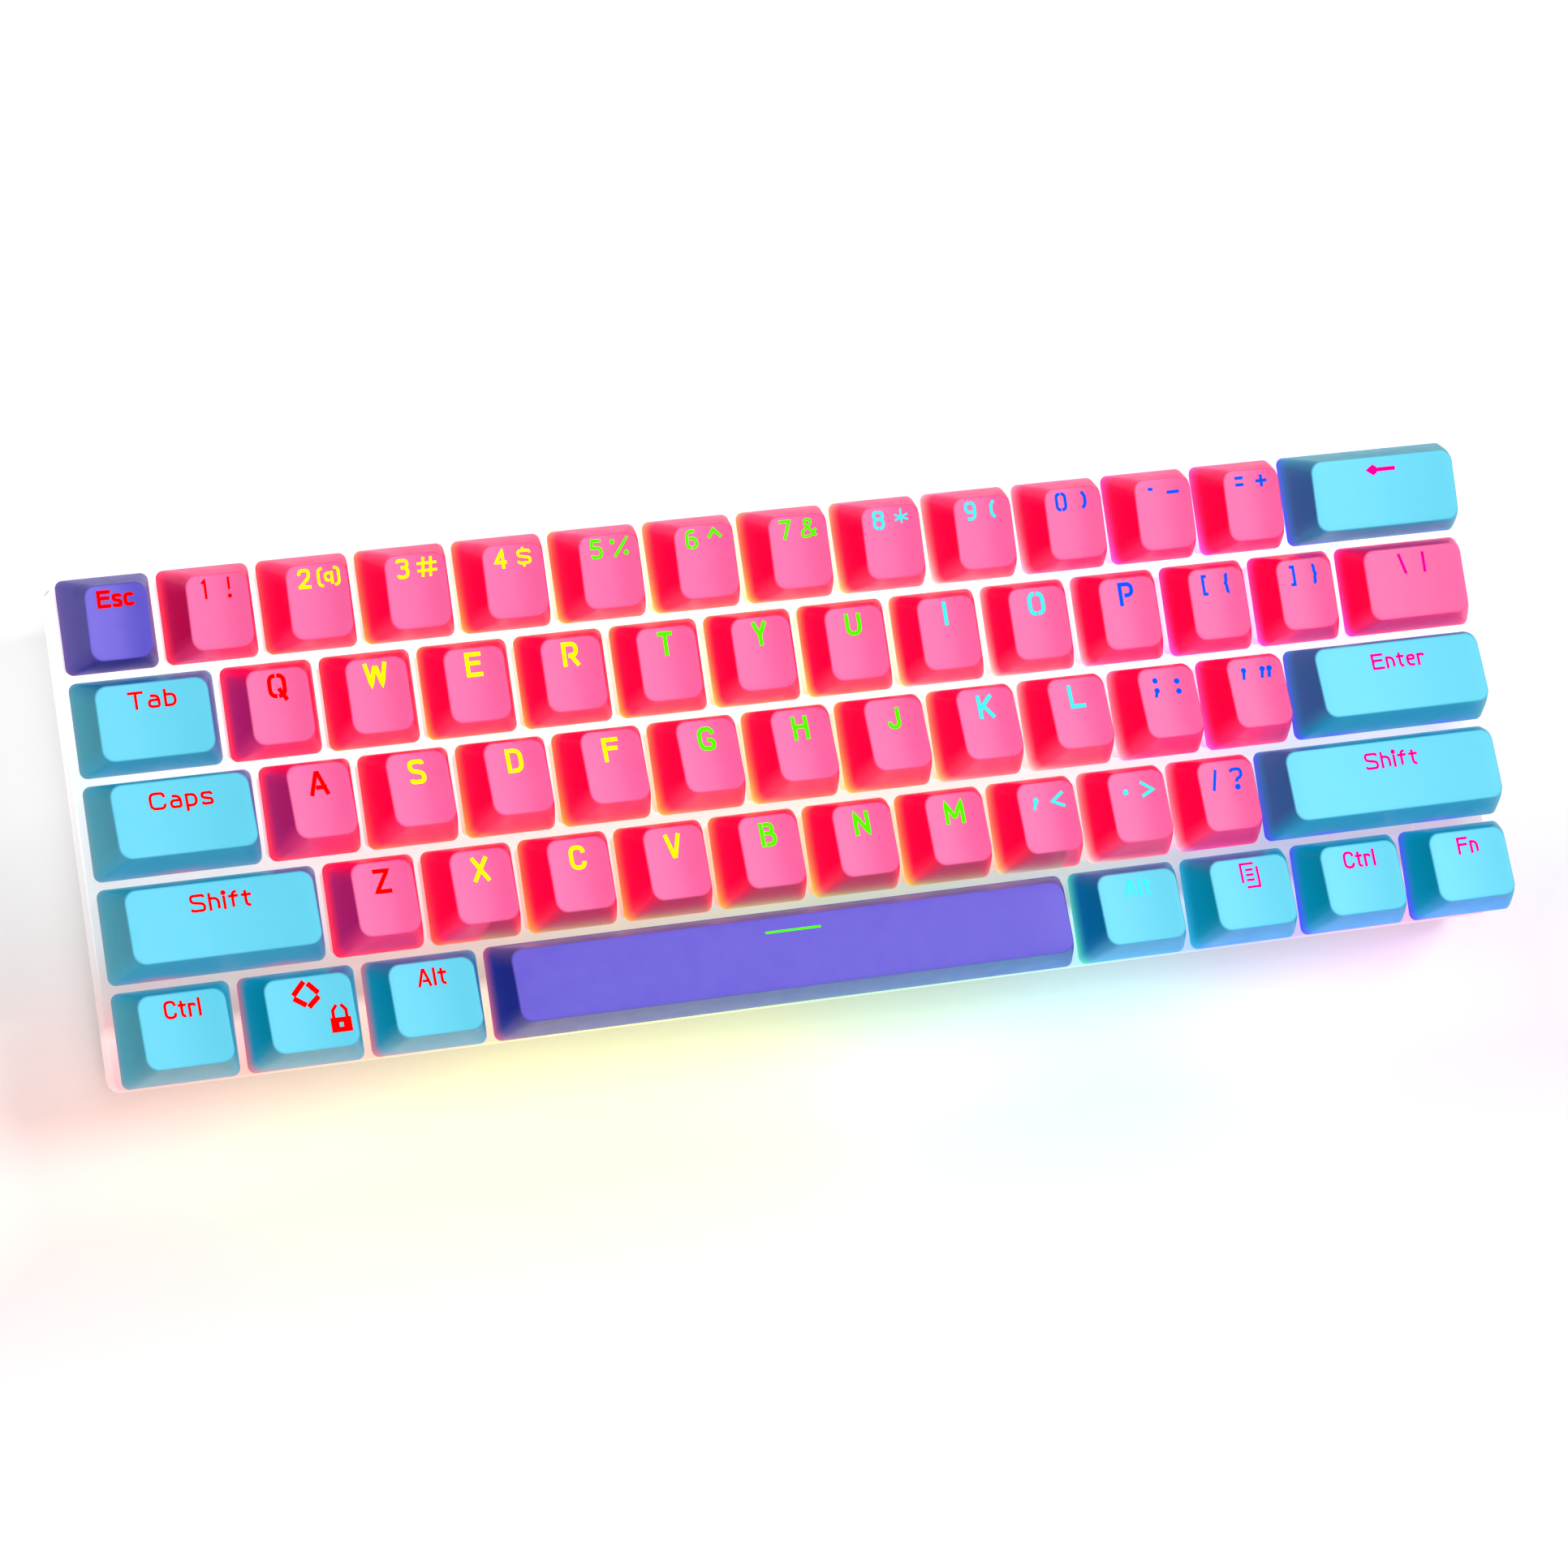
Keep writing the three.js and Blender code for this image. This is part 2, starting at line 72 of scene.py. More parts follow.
# Heights of each row's top face at its front and back edges, and how far those edges stand in.
ROWS = [
    dict(zip(("y", "front", "back", "front_inset", "back_inset"), row))
    for row in (
        (2 * UNIT, 8.9, 9.4, 1.2, 2.5),
        (UNIT, 7.4, 7.0, 1.9, 1.7),
        (0, 10.5, 8.1, 2.8, 0.95),
        (-UNIT, 10.1, 8.3, 2.6, 1.2),
        (-2 * UNIT, 9.2, 7.2, 2.4, 1.4),
    )
]

# ---- the deck
# Everything above the feet is modelled in the deck's millimetres, where z = 0 is the plate's top.
plate_low, plate_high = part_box("switch_plate")
deck_normal = Vector((0, -math.sin(DECK_TILT), math.cos(DECK_TILT)))
deck_origin = (plate_low + plate_high) / 2 + deck_normal * PLATE_THICKNESS / 2 * MM
DECK = (
    Matrix.Translation(deck_origin)
    @ Matrix.Rotation(DECK_TILT, 4, "X")
    @ Matrix.Scale(MM, 4)
)


def deck_point(x, y, z):
    return DECK @ Vector((x, y, z))


def linked(name, data):
    """A new object in the scene."""
    thing = bpy.data.objects.new(name, data)
    bpy.context.scene.collection.objects.link(thing)
    return thing


# ---- camera
CAMERA_AT = (-408.2, -81.3, 1070.0)  # in the deck's millimetres
CAMERA_LOOKS = Vector((0.3524, 0.0665, -0.9335))
CAMERA_UP = Vector((0.1096, 0.9877, 0.1117))
LENS = 137.7
SENSOR = 36


def make_camera():
    turn = DECK.to_3x3() * (1 / MM)
    back = -(turn @ CAMERA_LOOKS).normalized()
    right = (turn @ CAMERA_UP).cross(back).normalized()
    data = bpy.data.cameras.new("camera")
    data.lens = LENS
    data.sensor_width = SENSOR
    data.clip_start = 0.01
    camera = linked("camera", data)
    matrix = Matrix((right, back.cross(right), back)).transposed().to_4x4()
    matrix.translation = deck_point(*CAMERA_AT)
    camera.matrix_world = matrix
    bpy.context.scene.camera = camera


make_camera()

# ---- the keys
ROW_KEYS = [
    "esc 1 2 3 4 5 6 7 8 9 0 minus equals backspace:2",
    "tab:1.5 q w e r t y u i o p left_bracket right_bracket backslash:1.5",
    "caps_lock:1.75 a s d f g h j k l semicolon quote enter:2.25",
    "left_shift:2.25 z x c v b n m comma period slash right_shift:2.75",
    "left_ctrl:1.25 system:1.25 left_alt:1.25 space:6.25 right_alt:1.25 menu:1.25 right_ctrl:1.25"
    " fn:1.25",
]
# Keys that share a CAD node and a joint.
GROUPS = {
    "keys_nine_to_equals": "9 0 minus equals",
    "keys_brackets": "left_bracket right_bracket backslash",
    "keys_semicolon_quote": "semicolon quote",
    "keys_comma_to_slash": "comma period slash",
    "keys_left_modifiers": "left_ctrl system left_alt",
    "keys_right_modifiers": "right_alt menu right_ctrl fn",
}
BODY_OF = {name: body for body, names in GROUPS.items() for name in names.split()}
VIOLET_KEYS = ("esc", "space")

# The colour of the light under each key.
LAMPS = {
    "red": "esc 1 tab q caps_lock a left_shift z left_ctrl system left_alt",
    "yellow": "2 3 4 w e r s d f x c v",
    "green": "5 6 7 t y u g h j b n m space",
    "cyan": "8 9 i o k l comma period right_alt",
    "blue": "0 minus equals p left_bracket right_bracket semicolon quote slash",
    "magenta": "backspace backslash enter right_shift menu right_ctrl fn",
}
LAMP_OF = {name: colour for colour, names in LAMPS.items() for name in names.split()}


class Key:
    """One key: its name, row, centre and width in the deck's millimetres, and its CAD body."""

    def __init__(self, name, row, left, units):
        self.name = name
        self.row = row
        self.units = units
        self.x = (left + units / 2 - ROW_UNITS / 2) * UNIT
        self.y = ROWS[row]["y"]
        self.body = BODY_OF.get(name, "key_" + name)
        self.lamp = LAMP_OF[name]
        self.long = units >= 2
        self.width = units * UNIT - KEY_GAP
        self.top_half = self.width / 2 - SIDE_INSET
        self.top_front = -SKIRT_HALF + ROWS[row]["front_inset"]
        self.top_back = SKIRT_HALF - ROWS[row]["back_inset"]
        if name in VIOLET_KEYS:
            self.family = "violet"
        elif units > 1 and name != "backslash":
            self.family = "cyan"
        else:
            self.family = "pink"

    def top_height(self, x, y):
        """The top face's height over the plate at a place counted from the key's centre."""
        profile = ROWS[self.row]
        rise = (profile["back"] - profile["front"]) / (self.top_back - self.top_front)
        height = SKIRT_Z + profile["front"] + rise * (y - self.top_front)
        if self.name == "space":
            middle = (self.top_front + self.top_back) / 2
            across = (y - middle) / (self.top_back - middle)
            return height + CROWN * (1 - across**2)
        dish = DISH["single" if self.units == 1 else "wide"]
        return height - dish * (1 - (x / self.top_half) ** 2)

    def centred(self, part):
        """A part that is modelled about its own centre, moved to the key's place on the deck."""
        return moved(part, self.x, self.y)

    def ceiling(self):
        """The height over the plate of the hollow's top."""
        profile = ROWS[self.row]
        return SKIRT_Z + min(profile["front"], profile["back"]) - CAP_TOP - 0.5


def read_keys():
    keys = []
    for row, text in enumerate(ROW_KEYS):
        left = 0
        for word in text.split():
            name, _, units = word.partition(":")
            units = float(units or 1)
            keys.append(Key(name, row, left, units))
            left += units
    return keys


KEYS = read_keys()
LONG_KEYS = [key for key in KEYS if key.long]
STAB_REACH = {key.name: 50 if key.units > 3 else 11.9 for key in LONG_KEYS}


# ---- meshes
BEND_STEPS = 5  # the straight pieces of a rounded corner


def mixed(a, b, share):
    return tuple(p * (1 - share) + q * share for p, q in zip(a, b))


def darker(colour, share):
    return tuple(c * (1 - share) for c in colour)


def held(value, low=0.0, high=1.0):
    return min(high, max(low, value))


def add_mesh(name, mesh, body, material, replaces=None):
    """Puts a mesh into the scene as a piece that rides on a CAD body."""
    mesh.materials.clear()
    mesh.materials.append(material)
    piece = linked(name, mesh)
    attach(piece, body)
    if replaces:
        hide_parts(replaces)
    return piece


def add_piece(name, part, body, material, replaces=None, place=DECK, smooth=True,
              uneven=None):
    """A piece from a part: its points in the deck's millimetres, and its faces. uneven maps the
    names of attributes to their values at the points."""
    verts, faces = part
    mesh = bpy.data.meshes.new(name)
    mesh.from_pydata([place @ Vector(v) for v in verts], [], faces)
    mesh.validate()
    if smooth:
        mesh.shade_smooth()
    for layer, values in (uneven or {}).items():
        is_colour = isinstance(values[0], tuple)
        data = mesh.attributes.new(layer, "FLOAT_COLOR" if is_colour else "FLOAT", "POINT").data
        if is_colour:
            data.foreach_set("color", [c for value in values for c in (*value, 1)])
        else:
            data.foreach_set("value", values)
    return add_mesh(name, mesh, body, material, replaces)


def joined(parts):
    """Several (verts, faces) parts as one."""
    verts, faces = [], []
    for part_verts, part_faces in parts:
        start = len(verts)
        verts += part_verts
        faces += [[start + i for i in face] for face in part_faces]
    return verts, faces


def moved(part, across, along):
    verts, faces = part
    return [(x + across, y + along, z) for x, y, z in verts], faces


def skin(rings, capped=True):
    """A tube through rings of equally many points, counter-clockwise seen from the last ring."""
    count = len(rings[0])
    verts = [p for ring in rings for p in ring]
    faces = []
    for low in range(0, len(verts) - count, count):
        for i in range(count):
            j = (i + 1) % count
            faces.append([low + i, low + j, low + count + j, low + count + i])
    if capped:
        faces.append(list(range(count))[::-1])
        faces.append(list(range(len(verts) - count, len(verts))))
    return verts, faces


def rounded_outline(half_x, front, back, radius, corner_steps=6, x_steps=1, y_steps=1):
    """Points round a rectangle with round corners, counter-clockwise from its front left corner.
    Its straight sides are cut into x_steps and y_steps."""
    radius = min(radius, half_x, (back - front) / 2)
    turns = [i / corner_steps * math.pi / 2 for i in range(corner_steps + 1)]
    corners = (
        (radius - half_x, front + radius, math.pi), (half_x - radius, front + radius, 1.5 * math.pi),
        (half_x - radius, back - radius, 0), (radius - half_x, back - radius, 0.5 * math.pi),
    )
    arcs = [
        [(x + radius * math.cos(start + t), y + radius * math.sin(start + t)) for t in turns]
        for x, y, start in corners
    ]
    points = []
    for number, arc in enumerate(arcs):
        steps = y_steps if number % 2 else x_steps
        following = arcs[(number + 1) % 4][0]
        points += arc + [mixed(arc[-1], following, i / steps) for i in range(1, steps)]
    return points


def oblong(half_x, half_y, radius, z, corner_steps=4):
    """A level ring with round corners."""
    outline = rounded_outline(half_x, -half_y, half_y, radius, corner_steps)
    return [(x, y, z) for x, y in outline]


def rounded_block(half_x, half_y, low, high, radius, edge):
    """A block with round upright corners and small round edges."""
    small = 0.3 * edge
    levels = ((low, edge), (low + small, small), (low + edge, 0),
              (high - edge, 0), (high - small, small), (high, edge))
    return skin([
        oblong(half_x - inset, half_y - inset, max(radius - inset, 0.05), z, 3)
        for z, inset in levels
    ])


def round_ring(radius, z, steps):
    angles = [2 * math.pi * i / steps for i in range(steps)]
    return [(radius * math.cos(a), radius * math.sin(a), z) for a in angles]


def tube(points, radius, sides):
    """A round tube along a path."""
    path = [Vector(p) for p in points]
    rings = []
    across = None
    for i, point in enumerate(path):
        heading = (path[min(i + 1, len(path) - 1)] - path[max(i - 1, 0)]).normalized()
        if across is None:
            across = heading.orthogonal()
        across = (across - heading * across.dot(heading)).normalized()
        up = heading.cross(across)
        rings.append([tuple(point + across * x + up * y)
                      for x, y, _ in round_ring(radius, 0, sides)])
    return skin(rings)


def bend(start, corner, end):
    """A quadratic curve that rounds a corner."""
    shares = [i / BEND_STEPS for i in range(BEND_STEPS + 1)]
    return [start * (1 - t) ** 2 + corner * 2 * t * (1 - t) + end * t**2 for t in shares]


# ---- materials
LIGHT_COLOURS = {
    "red": (1.0, 0.0, 0.0),
    "yellow": (1.0, 0.95, 0.0),
    "green": (0.07, 1.0, 0.0),
    "cyan": (0.036, 0.66, 0.66),
    "blue": (0.001, 0.073, 0.95),
    "magenta": (1.0, 0.0, 0.23),
}
# The colours of the painted light along the skirts of each family, standing in for the lamps' light
# coming through them.
PAINTED_GLOW_COLOURS = {
    "pink": {
        "red": (1.0, 0.02, 0.06), "yellow": (1.0, 0.45, 0.03), "green": (0.66, 0.72, 0.10),
        "cyan": (0.80, 0.80, 0.72), "blue": (0.40, 0.10, 0.85), "magenta": (0.80, 0.02, 0.55),
    },
    "cyan": {
        "red": (0.62, 0.09, 0.14), "green": (0.10, 0.60, 0.40), "cyan": (0.0, 0.42, 0.42),
        "blue": (0.05, 0.04, 0.75), "magenta": (0.07, 0.03, 0.80),
    },
    "violet": {
        "red": (0.50, 0.0, 0.10), "green": (0.25, 0.30, 0.35), "cyan": (0.05, 0.30, 0.60),
    },
}
PAINTED_FRONT_GLOW = {"pink": 0.06, "cyan": 0.03, "violet": 0.04}  # the painted glow's share in a whole front wall
# Each family's top at its left and at its right: the right is darker, painted shade that stands in
# for the light from the right on the dished top.
TOP_COLOURS_LIT_AND_SHADED = {
    "pink": ((0.93, 0.147, 0.385), (0.93, 0.108, 0.33)),
    "cyan": ((0.150, 0.69, 0.92), (0.110, 0.615, 0.81)),
    "violet": ((0.172, 0.134, 0.708), (0.111, 0.080, 0.62)),
}
# A wall's colour, from its own keycap's and from what faces it: painted shade, with painted light
# that stands in for light through the plastic and light that the neighbour gives back.
WALL_PAINTED_SHADE_AND_BOUNCE = {
    ("pink", "pink"): (1.0, 0.0, 0.052),
    ("pink", "cyan"): (0.42, 0.006, 0.115),
    ("pink", "violet"): (0.48, 0.0, 0.055),
    ("pink", None): (0.80, 0.09, 0.24),
    ("pink", "open back"): (0.80, 0.035, 0.15),
    ("cyan", "pink"): (0.02, 0.10, 0.28),
    ("cyan", "cyan"): (0.0, 0.205, 0.32),
    ("cyan", "violet"): (0.0, 0.12, 0.28),
    ("cyan", None): (0.03, 0.205, 0.275),
    ("violet", "pink"): (0.12, 0.09, 0.25),
    ("violet", "cyan"): (0.012, 0.018, 0.20),
    ("violet", None): (0.052, 0.04, 0.225),
}
# The front walls over a neighbour are painted lighter, as if they took more of the room's light.
PAINTED_LIT_FRONTS = {"pink": (0.96, 0.055, 0.21), "cyan": (0.035, 0.33, 0.51)}
PINK_OVER_VIOLET = ((0.42, 0.20, 0.16), (0.50, 0.015, 0.11))  # painted shade and bounce light, at the skirt, and at the top
# The front row's front walls, at the keyboard's left end and at its right end: painted shade and
# painted coloured light from the lights below.
OPEN_FRONTS = {
    "cyan": ((0.10, 0.28, 0.35), (0.03, 0.26, 0.60)),
    "violet": ((0.13, 0.08, 0.20), (0.0, 0.16, 0.46)),
}


class Nodes:
    """A short way to write a material's nodes."""

    def __init__(self, name):
        self.material = bpy.data.materials.new(name)
        self.material.use_nodes = True
        self.tree = self.material.node_tree
        self.shader = self.tree.nodes["Principled BSDF"]

    def feed(self, socket, value):
        if isinstance(value, bpy.types.NodeSocket):
            self.tree.links.new(value, socket)
        else:
            socket.default_value = (*value, 1) if socket.type == "RGBA" else value

    def feed_all(self, node, inputs):
        for name, value in inputs.items():
            self.feed(node.inputs[name.replace("_", " ")], value)

    def add(self, kind, **inputs):
        node = self.tree.nodes.new("ShaderNode" + kind)
        self.feed_all(node, inputs)
        return node

    def set(self, **inputs):
        self.feed_all(self.shader, inputs)

    def math(self, operation, a, b=0.0):
        node = self.add("Math")
        node.operation = operation
        self.feed(node.inputs[0], a)
        self.feed(node.inputs[1], b)
        return node.outputs[0]

    def span(self, value, from_low, from_high, to_low=0.0, to_high=1.0):
        """A value carried from one range into another and held at its ends."""
        node = self.add("MapRange", Value=value, From_Min=from_low, From_Max=from_high,
                        To_Min=to_low, To_Max=to_high)
        return node.outputs["Result"]

    def mix(self, factor, a, b):
        node = self.add("Mix")
        node.data_type = "RGBA"
        self.feed(node.inputs["Factor"], factor)
        for name, value in (("A", a), ("B", b)):
            self.feed([s for s in node.inputs if s.name == name and s.type == "RGBA"][0], value)
        return [s for s in node.outputs if s.type == "RGBA"][0]

    def place(self):
        return self.add("TexCoord").outputs["Object"]

    def axes(self, vector):
        """A vector's X, Y and Z."""
        return self.add("SeparateXYZ", Vector=vector).outputs

    def noise(self, scale, detail):
        return self.add("TexNoise", Vector=self.place(), Scale=scale, Detail=detail).outputs["Fac"]

    def layer(self, name, output="Fac"):
        node = self.add("Attribute")
        node.attribute_name = name
        return node.outputs[output]

    def bump(self, height, strength, distance):
        node = self.add("Bump", Strength=strength, Distance=distance, Height=height)
        self.set(Normal=node.outputs["Normal"])


# A keycap's "rise" goes from 0 at the skirt to 1 on the top face.
TOP_START = 0.95  # the rise where the walls end and the rounding into the top begins
PAINTED_SKIRT_GLOW = {"height": 0.36, "fall": 1.6}  # how far up the walls the painted coloured light reaches
PAINTED_WALL_GLOW = (0.80, 0.42)  # the walls' painted glow at the skirt, and at the top, which keeps them bright in their shade


def keycap_material(family):
    """Fine satin plastic: the top in the key's colour with painted shade, the walls deeper with
    painted shade, bounce light and glow, and painted coloured light along the skirt."""
    m = Nodes("keycap_" + family)
    wall = m.layer("wall", "Color")
    glow = m.layer("glow", "Color")
    rise = m.layer("rise")
    mottle = m.noise(260, 3)
    speckle = m.noise(5200, 1)
    is_top = m.span(rise, TOP_START + 0.005, 1.0)
    # The top's colour with its painted shade, lighter at its left and darker at its right.
    top_with_painted_shade = m.mix(m.layer("shade"), *TOP_COLOURS_LIT_AND_SHADED[family])
    top = m.mix(m.span(mottle, 0.3, 0.7, 0.0, 0.015), top_with_painted_shade, (1, 1, 1))
    # The walls' painted shade and bounce light, with painted coloured light at the skirt.
    skirt = m.math("POWER", m.span(rise, PAINTED_SKIRT_GLOW["height"], 0.0), PAINTED_SKIRT_GLOW["fall"])
    lit = m.mix(m.math("MULTIPLY", skirt, m.layer("leak")), wall, glow)
    colour = m.mix(is_top, lit, top)
    # The walls glow with this painted light, most at the skirt; the top doesn't glow.
    strength = m.math("MULTIPLY", m.math("SUBTRACT", 1.0, is_top),
                      m.span(rise, 0.0, TOP_START, *PAINTED_WALL_GLOW))
    m.set(
        Base_Color=colour,
        Roughness=m.span(mottle, 0.3, 0.7, 0.40, 0.50),
        Emission_Color=lit,
        Emission_Strength=strength,
        Specular_IOR_Level=0.18,
    )
    m.bump(speckle, 0.10, 0.00004)
    return m.material


def legend_material(name):
    colour = LIGHT_COLOURS[name]
    m = Nodes("legend_" + name)
    cloud = m.noise(900, 2)
    shade = m.mix(m.span(cloud, 0.3, 0.7, 0.0, 0.12), colour, darker(colour, 0.2))
    m.set(Base_Color=shade, Emission_Color=shade, Emission_Strength=0.5, Roughness=0.7,
          Specular_IOR_Level=0.0)
    return m.material


def lamp_material(name):
    """A clear lens over a light of one colour."""
    m = Nodes("lamp_" + name)
    cloud = m.noise(700, 2)
    core = tuple(min(1.0, c + 0.25) for c in LIGHT_COLOURS[name])
    glow = m.mix(m.span(cloud, 0.3, 0.7, 0.0, 0.3), LIGHT_COLOURS[name], core)
    m.set(Base_Color=(0.9, 0.9, 0.9), Emission_Color=glow, Emission_Strength=1.2,
          Roughness=0.15)
    return m.material


def plastic_material(name, colour, rough, grain=0.12, mottle=0.05, specular=0.4):
    """A moulded plastic or coated surface with a fine texture."""
    m = Nodes(name)
    cloud = m.noise(140, 3)
    grit = m.noise(3600, 2)
    m.set(
        Base_Color=m.mix(m.span(cloud, 0.35, 0.65), colour, darker(colour, 3 * mottle)),
        Roughness=m.span(grit, 0.35, 0.65, *rough),
        Specular_IOR_Level=specular,
    )
    m.bump(grit, grain, 0.00006)
    return m


STREAKS = (30, 900, 900)


def metal_material(name, colour, rough=(0.22, 0.38)):
    """Drawn or plated metal with fine streaks along x."""
    m = Nodes(name)
    stretched = m.add("Mapping", Vector=m.place(), Scale=STREAKS).outputs["Vector"]
    grain = m.add("TexNoise", Vector=stretched, Scale=4.0, Detail=3.0).outputs["Fac"]
    m.set(
        Base_Color=m.mix(grain, darker(colour, 0.25), colour),
        Roughness=m.span(grain, 0.3, 0.7, *rough),
        Metallic=1.0,
    )
    m.bump(grain, 0.1, 0.00003)
    return m.material


RAINBOW_HALF = 0.1425  # in metres
RAINBOW = [("red", 0.04), ("orange", 0.24), ("yellow", 0.34), ("green", 0.50), ("cyan", 0.66),
           ("blue", 0.80), ("magenta", 0.95)]
ORANGE = (1.0, 0.45, 0.0)


def rainbow(m):
    """The lights' colours along the board, from red at the left to magenta at the right, for painted
    glow.
    """
    x = m.axes(m.place())["X"]
    ramp = m.add("ValToRGB", Fac=m.span(x, -RAINBOW_HALF, RAINBOW_HALF))
    elements = ramp.color_ramp.elements
    while len(elements) < len(RAINBOW):
        elements.new(0.5)
    for element, (name, position) in zip(elements, RAINBOW):
        element.position = position
        element.color = (*LIGHT_COLOURS.get(name, ORANGE), 1)
    return ramp.outputs["Color"]


PAINTED_FRONT_GAP_GLOW = 0.85  # the painted glow between the front row's keys


def white_with_painted_glow(name, colour, pastel, strength, rough, white=(1.0, 1.0, 1.0), outside=1.0):
    """A white surface over or beside the lights, with a painted glow in the lights' colours. The
    glow is weaker towards the front, a painted shade where the keycaps stand taller, with more of
    the lights' colours there. outside is the share of the glow that is left on the faces to the
    back, to the right and below, a painted shade on those faces."""
    m = plastic_material(name, colour, rough, mottle=0.008)
    y = m.axes(m.place())["Y"]
    wash = m.mix(m.span(y, -0.048, -0.020, 0.6, pastel), white, rainbow(m))
    along = m.math("MAXIMUM", m.span(y, -0.045, 0.035, 0.38 * strength, strength),
                   m.span(y, -0.031, -0.037, 0.0, PAINTED_FRONT_GAP_GLOW * strength))
    facing = m.axes(m.add("TexCoord").outputs["Normal"])
    away = m.math("MAXIMUM", facing["X"], facing["Y"])
    away = m.math("MAXIMUM", away, m.math("MULTIPLY", facing["Z"], -1.0))
    m.set(Emission_Color=wash,
          Emission_Strength=m.math("MULTIPLY", along, m.span(away, 0.3, 0.7, 1.0, outside)))
    return m.material


KEYCAP_MATERIALS = {family: keycap_material(family) for family in TOP_COLOURS_LIT_AND_SHADED}
LEGEND_MATERIALS = {name: legend_material(name) for name in LIGHT_COLOURS}
LAMP_MATERIALS = {name: lamp_material(name) for name in LIGHT_COLOURS}
# The plate, the switch housings and the base glow with painted light.
PLATE_MATERIAL = white_with_painted_glow(
    "plate_coat", (0.24, 0.25, 0.26), 0.03, 1.12, (0.45, 0.6), white=(0.92, 0.98, 1.0))
HOUSING_MATERIAL = white_with_painted_glow("housing_milky", (0.88, 0.89, 0.91), 0.14, 0.42, (0.2, 0.3))
BASE_MATERIAL = white_with_painted_glow(
    "base_plastic", (0.54, 0.535, 0.53), 0.05, 0.66, (0.4, 0.5), outside=0.12)
BOARD_MATERIAL = plastic_material("board_mask", (0.86, 0.89, 0.90), (0.3, 0.4)).material
FOOT_MATERIAL = plastic_material(
    "foot_rubber", (0.36, 0.37, 0.39), (0.8, 0.95), grain=0.5, specular=0.2).material
STEM_MATERIAL = plastic_material("stem_plastic", (0.60, 0.62, 0.66), (0.25, 0.35)).material
WIRE_MATERIAL = metal_material("wire_steel", (0.72, 0.73, 0.75))
PORT_MATERIAL = metal_material("port_steel", (0.76, 0.77, 0.80), (0.2, 0.3))
SPRING_MATERIAL = metal_material("spring_steel", (0.80, 0.77, 0.68))


# ---- keycaps
WALL_STEPS = 5
WALL_SHARES = (0.02, 0.92)  # of a wall's height: where its rings start, and their whole spread
EDGE_INSET = 0.378  # the rounding between the walls and the top, inwards and down
EDGE_DROP = 0.315
EDGE_STEPS = 4
INSIDE = 0.1  # the rise that the hollow's points count as
HOLLOW_SLOPE = 0.8  # the bevel between the hollow's walls and its ceiling
TOP_RINGS = 7
LIP = 0.18  # the rounding of the skirt's lower edge
WALL_BULGE = 0.12  # how far the walls swell in the middle of their height
CORNER_ZONE = 3  # the walls' points this near a side move with it


def family_at(row, x):
    """The family of the keycap at a place along a row, or None beyond the keyboard's edge."""
    for other in KEYS:
        if other.row == row and abs(other.x - x) < other.width / 2 + KEY_GAP:
            return other.family
    return None


def side_families(key):
    """The families of the keycaps at a key's left and at its right."""
    beyond = key.width / 2 + 2 * KEY_GAP
    return family_at(key.row, key.x - beyond), family_at(key.row, key.x + beyond)


FRONT_SPREAD = 250  # the width over which the front row's fronts change colour
CORNER_REACH = 2.6  # how far from an edge a wall's colour reaches into the next wall's


def front_colour(key, family, tint, x, rise):
    """A front wall's colour with its painted light and shade, over a keycap of some family or open
    to the room.
    """
    if not family:
        tint = mixed(*OPEN_FRONTS[key.family], held((key.x + x) / FRONT_SPREAD + 0.5))
    elif (key.family, family) == ("pink", "violet"):
        tint = mixed(*PINK_OVER_VIOLET, held(rise * 1.6))
    else:
        tint = mixed(tint, PAINTED_LIT_FRONTS.get(key.family, tint), 0.3 + 0.6 * rise)
    return mixed(tint, painted_glow_colour(key, x), PAINTED_FRONT_GLOW[key.family])


def painted_wall_shade_and_bounce(key, sides, x, y, rise):
    """The wall's colour over the skirt's point (x, y): painted shade and bounce light, blended round
    the corners.
    """
    faced = (
        ("left", x + key.width / 2, sides[0]),
        ("right", key.width / 2 - x, sides[1]),
        ("front", y + SKIRT_HALF, family_at(key.row + 1, key.x + x)),
        ("back", SKIRT_HALF - y, family_at(key.row - 1, key.x + x)),
    )
    alone = WALL_PAINTED_SHADE_AND_BOUNCE[key.family, None]
    own = WALL_PAINTED_SHADE_AND_BOUNCE.get((key.family, key.family), alone)
    colour, total = (0.0, 0.0, 0.0), 0.0
    for side, distance, family in faced:
        tint = WALL_PAINTED_SHADE_AND_BOUNCE.get((key.family, family or "open " + side), alone)
        if family:
            tint = mixed(own, tint, held((rise - 0.08) / 0.25))
        if side == "front":
            tint = front_colour(key, family, tint, x, rise)
        weight = max(0.0, 1 - distance / CORNER_REACH) ** 2
        colour = tuple(c + t * weight for c, t in zip(colour, tint))
        total += weight
    return tuple(c / (total or 1) for c in colour)


# Shares of painted light at the skirt: everywhere, at the corners and in front of the stabilizers.
PAINTED_LEAK = {"everywhere": 0.08, "front corner": 0.85, "back corner": 0.3, "stabilizer": 0.7}
PAINTED_LEFT_LEAK = {"pink": 0.12, "cyan": 0.6, "violet": 0.6}  # painted light along a left edge that faces a neighbour
LONG_WALL = 1.6 * UNIT  # cyan keys longer than this get painted spots of light along their front


